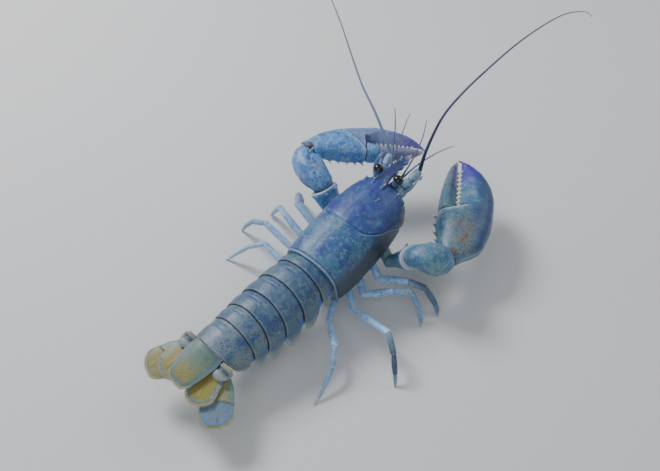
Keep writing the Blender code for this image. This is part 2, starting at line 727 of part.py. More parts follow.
def build_tail_fan(material, group):
    point, along, left, up = tail_frame(RING_EDGES[-1] + GAP / 2)
    tilt = PLEURA_SWEEP[-1] / SWEEP_DEPTH
    face = (point, unit(along + up * tilt))

    def seated(rings):
        return [[on_plane(p, along, face) for p in rings[0]]] + rings[1:]

    half = (13.2, 15.6, 15.0, 13.0, 9.8, 5.6)
    outline = (VANE_STATIONS, half, tuple(-value for value in half))
    root = point - up * TELSON_DEPTH
    telson = vane(root, along, left, up, TELSON_LENGTH, outline, TELSON_THICKNESS, 0.0, VANE_DROPS[0])
    add_object("telson", loft(seated(telson)), material, group)
    for side, (inner_swing, outer_swing) in UROPOD_SWINGS.items():
        sign = 1.0 if side == "left" else -1.0
        outlines = []
        for leaf, inner in (ENDOPOD_LEAF, EXOPOD_LEAF):
            high, low = (leaf, inner) if sign > 0 else (inner, leaf)
            outlines.append((VANE_STATIONS, high, tuple(-value for value in low)))
        root = point - up * ENDOPOD_DEPTH + left * sign * ENDOPOD_ASIDE
        rings = vane(root, along, left, up, ENDOPOD_LENGTH, outlines[0], ENDOPOD_THICKNESS, inner_swing,
                     VANE_DROPS[1])
        item = add_object(f"endopod_{side}", loft(seated(rings)), material, group)
        root = point - up * BOSS_DEPTH + left * sign * BOSS_ASIDE
        boss = [root + along * back for back in BOSS_STEPS]
        boss = article(boss, BOSS_SIZES, left, face, None, sides=10)
        fuse(item, [loft(boss)])
        root = point - up * EXOPOD_DEPTH + left * sign * EXOPOD_ASIDE
        rings = vane(root, along, left, up, EXOPOD_LENGTH[side], outlines[1], EXOPOD_THICKNESS, outer_swing,
                     VANE_DROPS[2], seam=EXOPOD_SEAM)
        add_object(f"exopod_{side}", loft(seated(rings)), material, group)


# Walking legs

STOUTNESS = {2: 1.02, 3: 0.98, 4: 0.90, 5: 0.80}
LEG_ROOT_SIZE = (5.0, 4.2)
LEG_UPPER_SIZES = ((4.9, 4.0), (3.6, 3.2), (3.1, 2.8), (3.7, 3.1), (3.5, 3.0), (3.3, 2.9))
LEG_WRIST_SIZES = ((2.8, 2.5), (3.1, 2.8), (3.0, 2.7), (2.8, 2.5))
LEG_SHIN_SIZES = ((2.6, 2.3), (2.9, 2.4), (2.4, 2.0))


def leg_root(side, station):
    sign = 1.0 if side == "left" else -1.0
    return torso(station, sign * (BREAST_HALF_WIDTH + GAP), COXA_LEVEL)


def build_leg(side, pair, material, group):
    sign = 1.0 if side == "left" else -1.0
    root = leg_root(side, LEG_STATIONS[pair])
    hip, knee, wrist, ankle, toe = [np.asarray(point, float) for point in LEG_JOINTS[(side, pair)]]
    stout = STOUTNESS[pair]
    heading = unit((knee - root) * np.array([1, 1, 0]))
    across = unit(np.cross(heading, (0.0, 0.0, 1.0)))
    wall = (root, np.array([0.0, sign, 0.0]))
    name = f"leg_{side}_{pair}"

    coxa = root + np.array([0, sign * 5.5, -3.6])
    path = [root, coxa, between(coxa, hip, 0.6), hip, between(hip, knee, 0.5), between(hip, knee, 0.92),
            knee]
    sizes = [LEG_ROOT_SIZE] + [(a * stout, b * stout) for a, b in LEG_UPPER_SIZES]
    end = mitre(hip, knee, wrist, -GAP / 2)
    add_object(name + "_upper", loft(article(path, sizes, across, wall, end)), material, group)

    path = [knee, between(knee, wrist, 0.4), between(knee, wrist, 0.9), wrist]
    sizes = [(a * stout, b * stout) for a, b in LEG_WRIST_SIZES]
    start = mitre(hip, knee, wrist, GAP / 2)
    carpus = article(path, sizes, across, start, None)
    shin_sizes = [(a * stout, b * stout) for a, b in LEG_SHIN_SIZES]
    shin_path = [wrist, between(wrist, ankle, 0.5), ankle]
    end = mitre(wrist, ankle, toe, -GAP / 2)
    shin = article(shin_path, shin_sizes, across, None, end)
    whole = carpus[:-1] + [[0.5 * (a + b) for a, b in zip(carpus[-1], shin[0])]] + shin[1:]
    lower = add_object(name + "_lower", loft(whole), material, group)

    floor = (np.array([toe[0], toe[1], 0.0]), np.array([0.0, 0.0, 1.0]))
    start = mitre(wrist, ankle, toe, GAP / 2)
    if pair in PINCER_PAIRS:
        reach = toe - ankle
        fixed = [ankle - unit(reach) * 2.5] + [between(ankle, toe, share) for share in (0.35, 0.7, 0.9)]
        offsets = (1.2, 1.35, 1.2, 0.95)
        sizes = [(0.8, 1.3), (1.0, 1.5), (0.8, 1.1), (0.45, 0.5)]
        fixed = [point - across * shift for point, shift in zip(fixed, offsets)]
        fuse(lower, [loft(article(fixed, sizes, across, None, None, sides=6))])
        path = [between(ankle, toe, share) for share in (0.0, 0.35, 0.75, 1.0)]
        path = [point + across * shift for point, shift in zip(path, (1.45, 1.45, 1.2, 1.05))]
        sizes = [(1.15, 1.6), (1.1, 1.5), (0.9, 1.1), (0.6, 0.7)]
    else:
        path = [ankle, between(ankle, toe, 0.35), between(ankle, toe, 0.75), toe]
        sizes = [(2.0 * stout, 1.7 * stout), (1.9 * stout, 1.6 * stout), (1.3, 1.2), (0.8, 0.8)]
    add_object(name + "_toe", loft(article(path, sizes, across, start, floor)), material, group)


# Large legs with the claws

MERUS_SHARES = (0.0, 0.3, 0.7, 0.86, 0.91, 0.97, 1.0)
MERUS_SIZES = ((5.6, 5.4), (7.4, 6.2), (11.5, 8.4), (12.8, 9.6), (13.6, 10.6), (13.4, 10.6), (11.4, 9.0))
CARPUS_SHARES = (0.0, 0.31, 0.55, 0.77, 1.0)
CARPUS_SIZES = ((8.0, 7.6), (10.4, 9.8), (13.8, 12.6), (11.6, 10.8), (7.6, 7.6))
CARPUS_BENDS = {"right": (27.0, 11.0), "left": (13.0, 15.0)}

# Thorns of the arm: share along the article, lean outward, lift up, and reach from its middle line.
MERUS_THORNS = ((0.72, -1.0, 0.9, 8.0), (0.90, -1.0, 0.35, 11.4), (0.90, 0.25, 1.0, 10.2))
CARPUS_THORNS = ((0.30, -1.0, 0.7, 11.0), (0.60, -1.0, 0.95, 12.6), (0.80, -1.0, 0.45, 10.8),
                 (0.50, -0.1, 1.0, 12.4), (0.74, 0.3, 1.0, 11.4))
BITE_THINNING = 0.62
BITE_HALF_GAP = 1.7
TOOTH_LENGTH = 2.4
TEETH = {"right": (10, 1.6, 0.5), "left": (11, 1.3, 0.3)}
PALM_SPINES = {"right": (0.07, 0.14, 0.21, 0.29, 0.37), "left": (0.09, 0.16, 0.23, 0.30, 0.37, 0.43)}
# Spine foot's step out from the palm's inner edge, its level, and the way it leans up; the left ones hang.
PALM_SPINE_PLACE = {"right": (0.9, 1.5, 0.1), "left": (2.1, -5.0, -0.5)}
CLAW_THICKNESS = {"right": 15.0, "left": 13.0}
CLAW_HINGE = {"right": 0.42, "left": 0.47}
CLAW_OUTLINES = {
    "right": ((-0.07, 0.0, 0.12, 0.32, 0.52, 0.70, 0.85, 0.95, 1.0),
              (12.0, 20.0, 30.0, 36.5, 37.5, 34.0, 25.0, 12.0, 0.8),
              (-6.0, -7.0, -10.0, -14.0, -14.0, -12.0, -9.0, -4.5, -0.8),
              (4.0, 3.0, 1.5)),
    "left": ((-0.07, 0.0, 0.12, 0.32, 0.52, 0.70, 0.85, 0.95, 1.0),
             (7.0, 13.0, 20.5, 27.0, 28.5, 26.0, 19.5, 10.0, 0.8),
             (-4.0, -4.5, -6.5, -10.0, -11.5, -10.5, -8.5, -4.5, -0.8),
             (9.0, 6.5, 1.8)),
}


def claw_axes(side):
    """The claw's own directions: along it, out to its outer edge, and up from its flat side."""
    wrist = np.asarray(CLAW_JOINTS[side][2], float)
    tip = np.asarray(CLAW_JOINTS[side][3], float)
    along = unit(tip - wrist)
    up = unit(np.array([0.0, 0.0, 1.0]) - along[2] * along)
    outward = np.cross(along, up) if side == "right" else np.cross(up, along)
    return wrist, float(np.linalg.norm(tip - wrist)), along, outward, up


def wrist_normal(side):
    """The way that the wrist faces: between the forearm's direction and the claw's."""
    elbow = np.asarray(CLAW_JOINTS[side][1], float)
    wrist, _, along, _, _ = claw_axes(side)
    return unit(0.7 * unit(wrist - elbow) + along)


def claw_ring(side, share, inner, outer, thickness, bite_way=0, plump=0.85):
    """A section of the claw. bite_way is the way to its biting edge, where it thins: -1 in, 1 out."""
    wrist, length, along, outward, up = claw_axes(side)
    centre = wrist + along * (length * share) + outward * (0.5 * (inner + outer))
    ring = oval(centre, outward, up, 0.5 * (outer - inner), thickness, 12, plump)
    half = 0.5 * (outer - inner)
    thinned = []
    for point in ring:
        near = max(0.0, bite_way * float(np.dot(point - centre, outward)) / half)
        level = float(np.dot(point - centre, up))
        thinned.append(point - up * (level * BITE_THINNING * near))
    return thinned


def claw_point(side, share, across, level):
    """A point of the claw: a share of its length, and millimetres outward and up from its line."""
    wrist, length, along, outward, up = claw_axes(side)
    return wrist + along * (length * share) + outward * across + up * level


def build_claw(side, material, group):
    joints = [np.asarray(point, float) for point in CLAW_JOINTS[side]]
    hip, elbow, wrist, tip = joints
    sign = 1.0 if side == "left" else -1.0
    root = leg_root(side, CLAW_STATION)
    name = f"cheliped_{side}"
    heading = unit((elbow - root) * np.array([1, 1, 0]))
    across = unit(np.cross(heading, (0.0, 0.0, 1.0)))
    wall = (root, np.array([0.0, sign, 0.0]))

    path = [root, between(root, hip, 0.3), between(root, hip, 0.75), hip]
    sizes = [(6.0, 4.2), (6.2, 5.0), (5.6, 5.4), (5.8, 5.6)]
    end = mitre(root, hip, elbow, -GAP / 2)
    add_object(name + "_ischium", loft(article(path, sizes, across, wall, end)), material, group)

    _, _, along, outward, up = claw_axes(side)
    path = [between(hip, elbow, share) for share in MERUS_SHARES]
    start = mitre(root, hip, elbow, GAP / 2)
    end = (elbow - unit(elbow - hip) * GAP / 2, unit(elbow - hip))
    rings = article(path, MERUS_SIZES, across, start, end, sides=12)
    merus = add_object(name + "_merus", loft(rings), material, group)
    limb = unit(elbow - hip)
    thorns = []
    for share, lean, lift, reach in MERUS_THORNS:
        way = unit(lean * outward + lift * up)
        way = unit(way - np.dot(way, limb) * limb)
        foot = between(hip, elbow, share) + way * reach
        thorns.append(spine(foot, way + 0.5 * limb, 4.2, 1.5, sunk=3.0))
    fuse(merus, thorns)

    wrist_way = wrist_normal(side)
    bulge = elbow + unit(elbow - hip) * CARPUS_BENDS[side][0]
    last_bend = wrist - wrist_way * CARPUS_BENDS[side][1]
    path = [bezier(elbow, bulge, last_bend, wrist, share) for share in CARPUS_SHARES]
    start = (elbow + unit(elbow - hip) * GAP / 2, unit(elbow - hip))
    end = (wrist - wrist_way * GAP / 2, wrist_way)
    rings = article(path, CARPUS_SIZES, across, start, end, sides=12)
    carpus = add_object(name + "_carpus", loft(rings), material, group)
    thorns = []
    for share, lean, lift, reach in CARPUS_THORNS:
        centre = bezier(elbow, bulge, last_bend, wrist, share)
        travel = unit(bezier(elbow, bulge, last_bend, wrist, share + 0.05) - centre)
        way = unit(lean * outward + lift * up)
        way = unit(way - np.dot(way, travel) * travel)
        thorns.append(spine(centre + way * reach, way + 0.45 * travel, 4.6, 1.7, sunk=3.5))
    fuse(carpus, thorns)

    stations, outs, ins, bites = CLAW_OUTLINES[side]
    outer = profile(stations, outs)
    inner = profile(stations, ins)
    hinge = CLAW_HINGE[side]
    bite = profile((hinge, 0.7, 1.0), bites)
    thick = profile((-0.07, 0.05, 0.3, 0.6, 0.85, 1.0),
                    (7.0, 9.5, CLAW_THICKNESS[side], 0.86 * CLAW_THICKNESS[side], 7.0, 1.2))
    start = (wrist + wrist_way * GAP / 2, wrist_way)
    rings = []
    wrist_ring = claw_ring(side, 0.0, -8.5, 8.5, 7.5)
    rings.append([on_plane(p, along, start) for p in wrist_ring])
    for share in (0.10, 0.18, 0.28, 0.37):
        rings.append(claw_ring(side, share, inner(share), outer(share), thick(share)))
    rings.append(claw_ring(side, hinge, inner(hinge) + 1.0, outer(hinge), thick(hinge)))
    for share in (hinge + 0.002, 0.54, 0.64, 0.74, 0.84, 0.92, 0.97, 1.0):
        low = min(bite(share) + BITE_HALF_GAP, outer(share) - 1.2)
        rings.append(claw_ring(side, share, low, outer(share), thick(share) * 0.94, bite_way=-1))
    propodus = add_object(name + "_propodus", loft(rings), material, group)
    count, tooth_radius, blunt = TEETH[side]
    pitch = (0.93 - hinge - 0.05) / count
    thorns = []
    for number in range(count):
        share = hinge + 0.05 + pitch * number
        foot = claw_point(side, share, bite(share) + BITE_HALF_GAP + 0.3, 0.0)
        grown = 1.25 - 0.5 * number / count
        thorns.append(spine(foot, -outward, TOOTH_LENGTH, tooth_radius * grown, sunk=2.0, blunt=blunt))
    inset, level, lift = PALM_SPINE_PLACE[side]
    for share in PALM_SPINES[side]:
        foot = claw_point(side, share, inner(share) + inset, level)
        thorns.append(spine(foot, 0.5 * along + lift * up - outward, 4.8, 1.9, sunk=3.5))
    fuse(propodus, thorns)

    rings = []
    length = claw_axes(side)[1]
    first = hinge + 0.002 + GAP / length
    for share in (first, 0.50, 0.60, 0.70, 0.80, 0.88, 0.94, 0.975):
        high = bite(share) - BITE_HALF_GAP
        low = inner(share)
        if share == first:
            low += 1.5
        if share > 0.9:
            low = min(low, high - 1.2)
        rings.append(claw_ring(side, share, low, high, thick(share) * 0.80, bite_way=1))
    dactylus = add_object(name + "_dactylus", loft(rings), material, group)
    thorns = []
    for number in range(count - 1):
        share = hinge + 0.05 + pitch * (number + 0.5)
        foot = claw_point(side, share, bite(share) - BITE_HALF_GAP - 0.3, 0.0)
        grown = 1.2 - 0.5 * number / count
        thorns.append(spine(foot, outward, TOOTH_LENGTH, tooth_radius * grown, sunk=1.6, blunt=blunt))
    fuse(dactylus, thorns)


def build():
    clear_scene()
    body = make_collection("american_lobster")
    shell = make_material("shell", SHELL_BLUE, 0.42)
    claw = make_material("claw_shell", CLAW_BLUE, 0.38)
    leg = make_material("leg_shell", LEG_BLUE, 0.40)
    tail = make_material("tail_fan", TAIL_OCHRE, 0.50)
    feeler = make_material("feeler", FEELER_BLUE, 0.45)
    eye = make_material("eye", EYE_BLACK, 0.12)
    build_carapace(shell, body)
    build_rostrum(shell, body)
    build_sternum(leg, body)
    build_abdomen(shell, body)
    build_tail_fan(tail, body)
    for side in ("left", "right"):
        build_eye(side, eye, body)
        build_antenna(side, shell, feeler, body)
        build_antennule(side, feeler, body)
        build_maxilliped(side, leg, body)
        build_claw(side, claw, body)
        for pair in LEG_STATIONS:
            build_leg(side, pair, leg, body)


build()
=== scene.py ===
# %% [markdown]
# An American lobster, dressed over its solids.
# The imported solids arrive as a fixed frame. Each of them is a coarse closed form, good for collision, and
# this lesson builds a finer shell over every one from the same named sizes. A copy of the solid could
# be subdivided instead, but then its facets would show as dents, so the forms are drawn afresh.

# %% Load the frame
import math

import bpy
import numpy as np
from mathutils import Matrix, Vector


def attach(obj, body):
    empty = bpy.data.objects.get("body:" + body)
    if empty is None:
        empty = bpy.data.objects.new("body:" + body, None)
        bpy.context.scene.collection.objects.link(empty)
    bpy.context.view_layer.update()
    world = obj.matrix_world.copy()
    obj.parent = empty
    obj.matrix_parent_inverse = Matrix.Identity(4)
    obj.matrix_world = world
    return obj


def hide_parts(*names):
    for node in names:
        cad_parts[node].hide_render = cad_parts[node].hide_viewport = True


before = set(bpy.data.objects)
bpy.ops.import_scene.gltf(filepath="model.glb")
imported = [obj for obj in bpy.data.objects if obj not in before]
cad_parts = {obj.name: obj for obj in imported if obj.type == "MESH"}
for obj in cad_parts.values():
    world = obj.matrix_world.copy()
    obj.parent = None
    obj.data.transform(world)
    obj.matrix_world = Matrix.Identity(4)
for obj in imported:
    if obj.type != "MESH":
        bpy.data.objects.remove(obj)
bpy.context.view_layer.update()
print("solids:", len(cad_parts))

# %% [markdown]
# All sizes are in millimetres in the animal's own frame: +X to the head, +Y to its left, +Z up, and
# the floor at zero. One function turns them to the world's metres, so no piece is ever moved by hand.

# %% Frame and small helpers
MM = 0.001
GAP = 0.3
BOX_MIDDLE = np.array([120.04, 48.65, 0.0])
SIDES = (("left", 1.0), ("right", -1.0))


def unit(vector):
    vector = np.asarray(vector, float)
    return vector / np.linalg.norm(vector, axis=-1, keepdims=True)


def between(a, b, share):
    return np.asarray(a, float) * (1 - share) + np.asarray(b, float) * share


def ramp(value, low, high):
    """A soft step from 0 at low to 1 at high."""
    t = np.clip((np.asarray(value, float) - low) / (high - low), 0.0, 1.0)
    return t * t * (3 - 2 * t)


def hump(value, middle, width):
    """A soft bump of height 1 round a middle."""
    return np.exp(-((np.asarray(value, float) - middle) / width) ** 2)


# %% [markdown]
# A real shell swells and narrows without a kink. A monotone cubic through a few stations does the same:
# it passes through each named size and never overshoots between them, as a free spline would.

# %% Profiles
def hermite(t, step, start, end, start_slope, end_slope):
    """A cubic from one value to the next with a slope at each; t runs from 0 to 1 over the step."""
    return ((1 + 2 * t) * (1 - t) ** 2 * start + t * (1 - t) ** 2 * step * start_slope
            + t * t * (3 - 2 * t) * end + t * t * (t - 1) * step * end_slope)


def profile(stations, values):
    """A size that changes smoothly along some stations, as a function of the place."""
    x = np.asarray(stations, float)
    y = np.asarray(values, float)
    step = np.diff(x)
    slope = np.diff(y) / step
    tangent = np.zeros_like(y)
    same_way = slope[:-1] * slope[1:] > 0
    total = np.where(same_way, slope[:-1] + slope[1:], 1.0)
    tangent[1:-1] = np.where(same_way, 2 * slope[:-1] * slope[1:] / total, 0.0)
    tangent[0] = slope[0]
    tangent[-1] = slope[-1]

    def value(at):
        at = np.clip(np.asarray(at, float), x[0], x[-1])
        i = np.minimum(np.searchsorted(x, at, side="right") - 1, len(step) - 1)
        t = (at - x[i]) / step[i]
        return hermite(t, step[i], y[i], y[i + 1], tangent[i], tangent[i + 1])

    return value


# %% Lines and rings
def spline(a, b, c, d, t):
    """A place between b and c on the smooth curve through four points."""
    return 0.5 * (2 * b + (c - a) * t + (2 * a - 5 * b + 4 * c - d) * t * t
                  + (3 * b - a - 3 * c + d) * t ** 3)


def smooth_path(points, steps):
    """More points on a smooth curve through a few."""
    points = [np.asarray(point, float) for point in points]
    points = [2 * points[0] - points[1]] + points + [2 * points[-1] - points[-2]]
    result = []
    for i in range(1, len(points) - 2):
        result += [spline(*points[i - 1:i + 3], k / steps) for k in range(steps)]
    result.append(points[-2])
    return np.array(result)


def rounded(ring, times):
    """A closed ring with more points on a smooth curve through the ones given."""
    ring = np.asarray(ring, float)
    neighbours = [np.roll(ring, shift, axis=0) for shift in (1, 0, -1, -2)]
    steps = [spline(*neighbours, k / times) for k in range(times)]
    return np.stack(steps, axis=1).reshape(-1, 3)


def distances(line):
    """How far each point of a line is from its start, along the line."""
    return np.concatenate([[0.0], np.cumsum(np.linalg.norm(np.diff(line, axis=0), axis=1))])


def at_distance(line, travelled, stops):
    """The points of a line at one or more distances along it."""
    return np.stack([np.interp(stops, travelled, line[:, k]) for k in range(3)], axis=-1)


# %% [markdown]
# Every shell piece is a skin: rows of points that run round the form, one row after another along it.
# The rows are joined with four-sided faces and closed at both ends. Marks are numbers kept at each point,
# such as how near it is to a rim or a tip, and the materials read them to place colour.

# %% Skins
MARKS = ("violet", "warm", "shade", "rim", "line", "knob", "tip")
CREASE_ANGLE = math.radians(40.0)
pieces = []


def skin(rows, **marks):
    """One closed surface as points, faces and marks, ready to be joined with others."""
    rows = np.asarray(rows, float)
    count, around = rows.shape[:2]
    points = rows.reshape(-1, 3)
    i = np.arange(count - 1)[:, None] * around
    j = np.arange(around)[None, :]
    k = (j + 1) % around
    faces = np.stack([i + j, i + k, i + around + k, i + around + j], axis=-1).reshape(-1, 4).tolist()
    fields = {name: np.broadcast_to(np.asarray(marks.get(name, 0.0), float), (count, around)).reshape(-1)
              for name in MARKS}
    first = len(points)
    ends = np.array([rows[0].mean(axis=0), rows[-1].mean(axis=0)])
    points = np.concatenate([points, ends])
    last_row = (count - 1) * around
    faces += [[first, (n + 1) % around, n] for n in range(around)]
    faces += [[first + 1, last_row + n, last_row + (n + 1) % around] for n in range(around)]
    for name in MARKS:
        field = fields[name]
        fields[name] = np.append(field, [field[:around].mean(), field[last_row:].mean()])
    if volume(points, faces) < 0:
        faces = [face[::-1] for face in faces]
    return points, faces, fields


def volume(points, faces):
    """Signed volume, which is negative where the faces look inward."""
    total = 0.0
    for corners in (3, 4):
        group = np.array([face for face in faces if len(face) == corners], int)
        for k in range(1, corners - 1):
            if len(group):
                a, b, c = points[group[:, 0]], points[group[:, k]], points[group[:, k + 1]]
                total += float(np.einsum("ij,ij->i", a, np.cross(b, c)).sum())
    return total


def add_piece(name, skins, material, nodes):
    """One object from several skins; it rides on the body and takes the place of CAD nodes."""
    points = []
    faces = []
    fields = {mark: [] for mark in MARKS}
    for some_points, some_faces, some_fields in skins:
        start = sum(len(p) for p in points)
        points.append(some_points)
        faces += [[start + index for index in face] for face in some_faces]
        for mark in MARKS:
            fields[mark].append(some_fields[mark])
    points = (np.concatenate(points) - BOX_MIDDLE) * MM
    mesh = bpy.data.meshes.new(name)
    mesh.from_pydata(points.tolist(), [], faces)
    for mark in MARKS:
        layer = mesh.attributes.new(mark, "FLOAT", "POINT")
        layer.data.foreach_set("value", np.concatenate(fields[mark]).astype(np.float32))
    mesh.materials.append(material)
    mesh.shade_smooth()
    mesh.set_sharp_from_angle(angle=CREASE_ANGLE)
    mesh.update()
    item = bpy.data.objects.new(name, mesh)
    bpy.context.scene.collection.objects.link(item)
    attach(item, "root")
    for node in nodes:
        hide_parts(node)
    pieces.append(item)
    print(name, len(faces), "faces")
    return item


# %% [markdown]
# Real shell is never quite even. Value noise, a random height at each corner of a grid of cells with soft
# steps between, gives slow swellings; pushing a skin out along its own normals by it keeps the form.

# %% Relief
def lumps(points, size, seed):
    """Smooth noise from -1 to 1 with swellings of about the given size."""
    q = np.asarray(points, float) / size + seed * 31.7
    cell = np.floor(q).astype(np.int64)
    f = q - cell
    f = f * f * (3 - 2 * f)
    total = 0.0
    for corner in np.ndindex(2, 2, 2):
        c = cell + np.array(corner)
        n = (c[..., 0] * 73856093) ^ (c[..., 1] * 19349663) ^ (c[..., 2] * 83492791) ^ (seed * 2654435761)
        n = ((n ^ (n >> 13)) * 1274126177) & 0xFFFFFF
        weight = np.prod(np.where(np.array(corner) == 1, f, 1 - f), axis=-1)
        total = total + weight * (n / 0x7FFFFF - 1.0)
    return total


def outward(rows):
    """The way out of the skin at each of its points."""
    rows = np.asarray(rows, float)
    along = np.gradient(rows, axis=0)
    around = np.roll(rows, -1, axis=1) - np.roll(rows, 1, axis=1)
    normal = np.cross(along, around)
    normal = normal / np.maximum(np.linalg.norm(normal, axis=-1, keepdims=True), 1e-9)
    away = rows - rows.mean(axis=1, keepdims=True)
    sign = np.sign((normal * away).sum())
    return normal * sign


def push(rows, amount):
    rows = np.asarray(rows, float)
    return rows + outward(rows) * np.asarray(amount, float)[..., None]


# %% [markdown]
# Legs, feelers and stalks are articles: tubes with an oval section that changes along a bent line.
# A curve with a bevel would be quicker, but it has a round section only, and the ends of a real
# article are cut by the slanted plane of its joint. So each section is leaned until it lies in that plane.

# %% Articles
RIM_PLACES = (0.15, 0.4, 0.75)
RIM_SHRINK = 0.22
LOOK_EACH_WAY = 0.6


def oval(centre, wide, thick, half_width, half_thickness, sides, squareness=1.0):
    """A ring of points; below 1, squareness fills its corners."""
    angle = 2 * math.pi * (np.arange(sides) + 0.5) / sides
    c = np.cos(angle)
    s = np.sin(angle)
    across = np.sign(c) * np.abs(c) ** squareness * half_width
    rise = np.sign(s) * np.abs(s) ** squareness * half_thickness
    return centre + wide * across[:, None] + thick * rise[:, None]


def on_plane(points, direction, plane):
    """Slide points along a direction until they lie on a plane."""
    origin, normal = plane
    reach = ((origin - points) @ normal) / float(direction @ normal)
    return points + direction * np.asarray(reach)[..., None]


def mitre(before, joint, after, shift):
    """The slanted plane of a joint, moved along by a shift."""
    normal = unit(unit(joint - before) + unit(after - joint))
    return joint + normal * shift, normal


def article(path, sizes, flat_of, start=None, end=None, sides=24, steps=8, squareness=1.0,
            edge=0.7, lean=0.3):
    """Rows of a tube along a few points. Its rims are rounded over edge millimetres."""
    line = smooth_path(path, steps)
    travelled = distances(line)
    knots = travelled[::steps]
    wide_at = profile(knots, [size[0] for size in sizes])
    thick_at = profile(knots, [size[1] for size in sizes])
    total = travelled[-1]
    extra = [edge * share for share in RIM_PLACES]
    inner = travelled[(travelled > edge * 1.2) & (travelled < total - edge * 1.2)]
    stops = np.unique(np.concatenate([[0.0], extra, inner, [total - e for e in extra], [total]]))
    rows = []
    for stop in stops:
        point = at_distance(line, travelled, stop)
        ahead = at_distance(line, travelled, min(stop + LOOK_EACH_WAY, total))
        behind = at_distance(line, travelled, max(stop - LOOK_EACH_WAY, 0.0))
        along = unit(ahead - behind)
        wide = unit(flat_of - np.dot(flat_of, along) * along)
        thick = np.cross(along, wide)
        near_end = min(stop, total - stop) / edge
        shrink = 1.0 - RIM_SHRINK * max(0.0, 1.0 - near_end) ** 2
        ring = oval(point, wide, thick, float(wide_at(stop)) * shrink, float(thick_at(stop)) * shrink,
                    sides, squareness)
        for plane, distance in ((start, stop), (end, total - stop)):
            if plane is not None and distance < lean * total:
                slant = unit(between(plane[1], along, float(ramp(distance, 0.0, lean * total))))
                ring = on_plane(ring, along, (point if distance else plane[0], slant))
        rows.append(ring)
    return np.array(rows)


def toward_end(rows, low, high=1.0):
    """A mark that comes in softly towards the last row of a tube."""
    return ramp(np.linspace(0, 1, len(rows)), low, high)[:, None]


# %% [markdown]
# Spines and teeth are thorns. A cone alone looks stuck on; a real thorn flares where it leaves the shell,
# keeps the shell's colour, and is pale only where its tip is worn, so the tip mark comes in near the end.

# %% Thorns
THORN_SHARES = (0.0, 0.12, 0.28, 0.46, 0.64, 0.80, 0.91, 0.97, 1.0)
THORN_FLARE = 0.35
THORN_TIP = 0.55


def thorn(foot, direction, length, radius, sunk=2.0, blunt=0.12, sides=12, pale=0.72):
    """A thorn from a foot sunk in the shell; it turns pale round the share given."""
    along = unit(direction)
    helper = np.array([0.0, 0.0, 1.0]) if abs(along[2]) < 0.9 else np.array([1.0, 0.0, 0.0])
    wide = unit(np.cross(along, helper))
    thick = np.cross(along, wide)
    foot = np.asarray(foot, float)
    rows = []
    tips = []
    for share in (-sunk / length,) + THORN_SHARES:
        grown = max(share, 0.0)
        flare = 1.0 + THORN_FLARE * math.exp(-grown / 0.12)
        end = THORN_TIP if share == 1.0 else 1.0
        size = radius * flare * (blunt + (1 - blunt) * (1 - grown) ** 1.1) * end
        rows.append(oval(foot + along * length * share, wide, thick, size, size, sides))
        tips.append(float(ramp(grown, pale - 0.2, pale + 0.2)))
    return skin(rows, tip=np.array(tips)[:, None])


# %% [markdown]
# The cephalothorax is tilted nose up as the animal walks, so its sizes are given along its own axis and
# one function tilts them.

# %% Torso frame
TORSO_HEIGHT = 74.0
TORSO_PITCH = math.radians(13.0)
REAR_FACE = 2.0
FRONT_FACE = 106.0
BELLY = -46.0
WIDEST_LEVEL = -24.0
ROSTRUM_TIP = 146.0


def torso(x, y, z):
    """Points of the tilted cephalothorax, in the pose frame."""
    c = math.cos(TORSO_PITCH)
    s = math.sin(TORSO_PITCH)
    x, y, z = np.broadcast_arrays(*(np.asarray(value, float) for value in (x, y, z)))
    return np.stack([x * c - z * s, y, TORSO_HEIGHT + x * s + z * c], axis=-1)


def torso_way(x, y, z):
    """A direction in the same frame."""
    return torso(x, y, z) - torso(0, 0, 0)


TORSO_FORWARD = torso_way(1, 0, 0)

# %% [markdown]
# The carapace is one hard shell over head and chest. A deep groove, the cervical groove, runs down and
# forward on both sides and parts them, and a raised band follows its hind margin. The rows of the skin
# follow the groove, so that its edge stays crisp without a dense mesh everywhere.

# %% Carapace form
HALF_WIDTH = profile((0, 10, 30, 50, 70, 90, 104), (26.5, 28.5, 30.0, 30.0, 29.4, 28.0, 23.0))
SHOULDER = profile((0, 55, 78, 94, 104), (0.92, 0.95, 1.25, 1.75, 2.2))
TOP_LEVEL = profile((0, 10, 30, 50, 70, 90, 104), (-1.0, 0.0, 1.0, 0.5, 0.0, -1.6, -3.6))
LIP_LEVEL = profile((0, 10, 30, 60, 80, 92, 104), (-49.0, -51.5, -53.0, -53.0, -51.0, -47.5, -42.0))
BELLY_LEVEL = profile((0, 86, 104), (BELLY, BELLY, -38.5))
GROOVE_LINE = profile((0, 5, 12, 31, 45, 54), (50, 51, 58, 82, 92, 95))
FRONT_LINE = profile((0, 10, 40, 54), (104.0, 104.0, 103.5, 100.0))
GROOVE_DEPTH = 1.5
GROOVE_WIDTH = 0.95
BACK_END = 0.55
SIDE_END = 0.84
LIP = 0.86


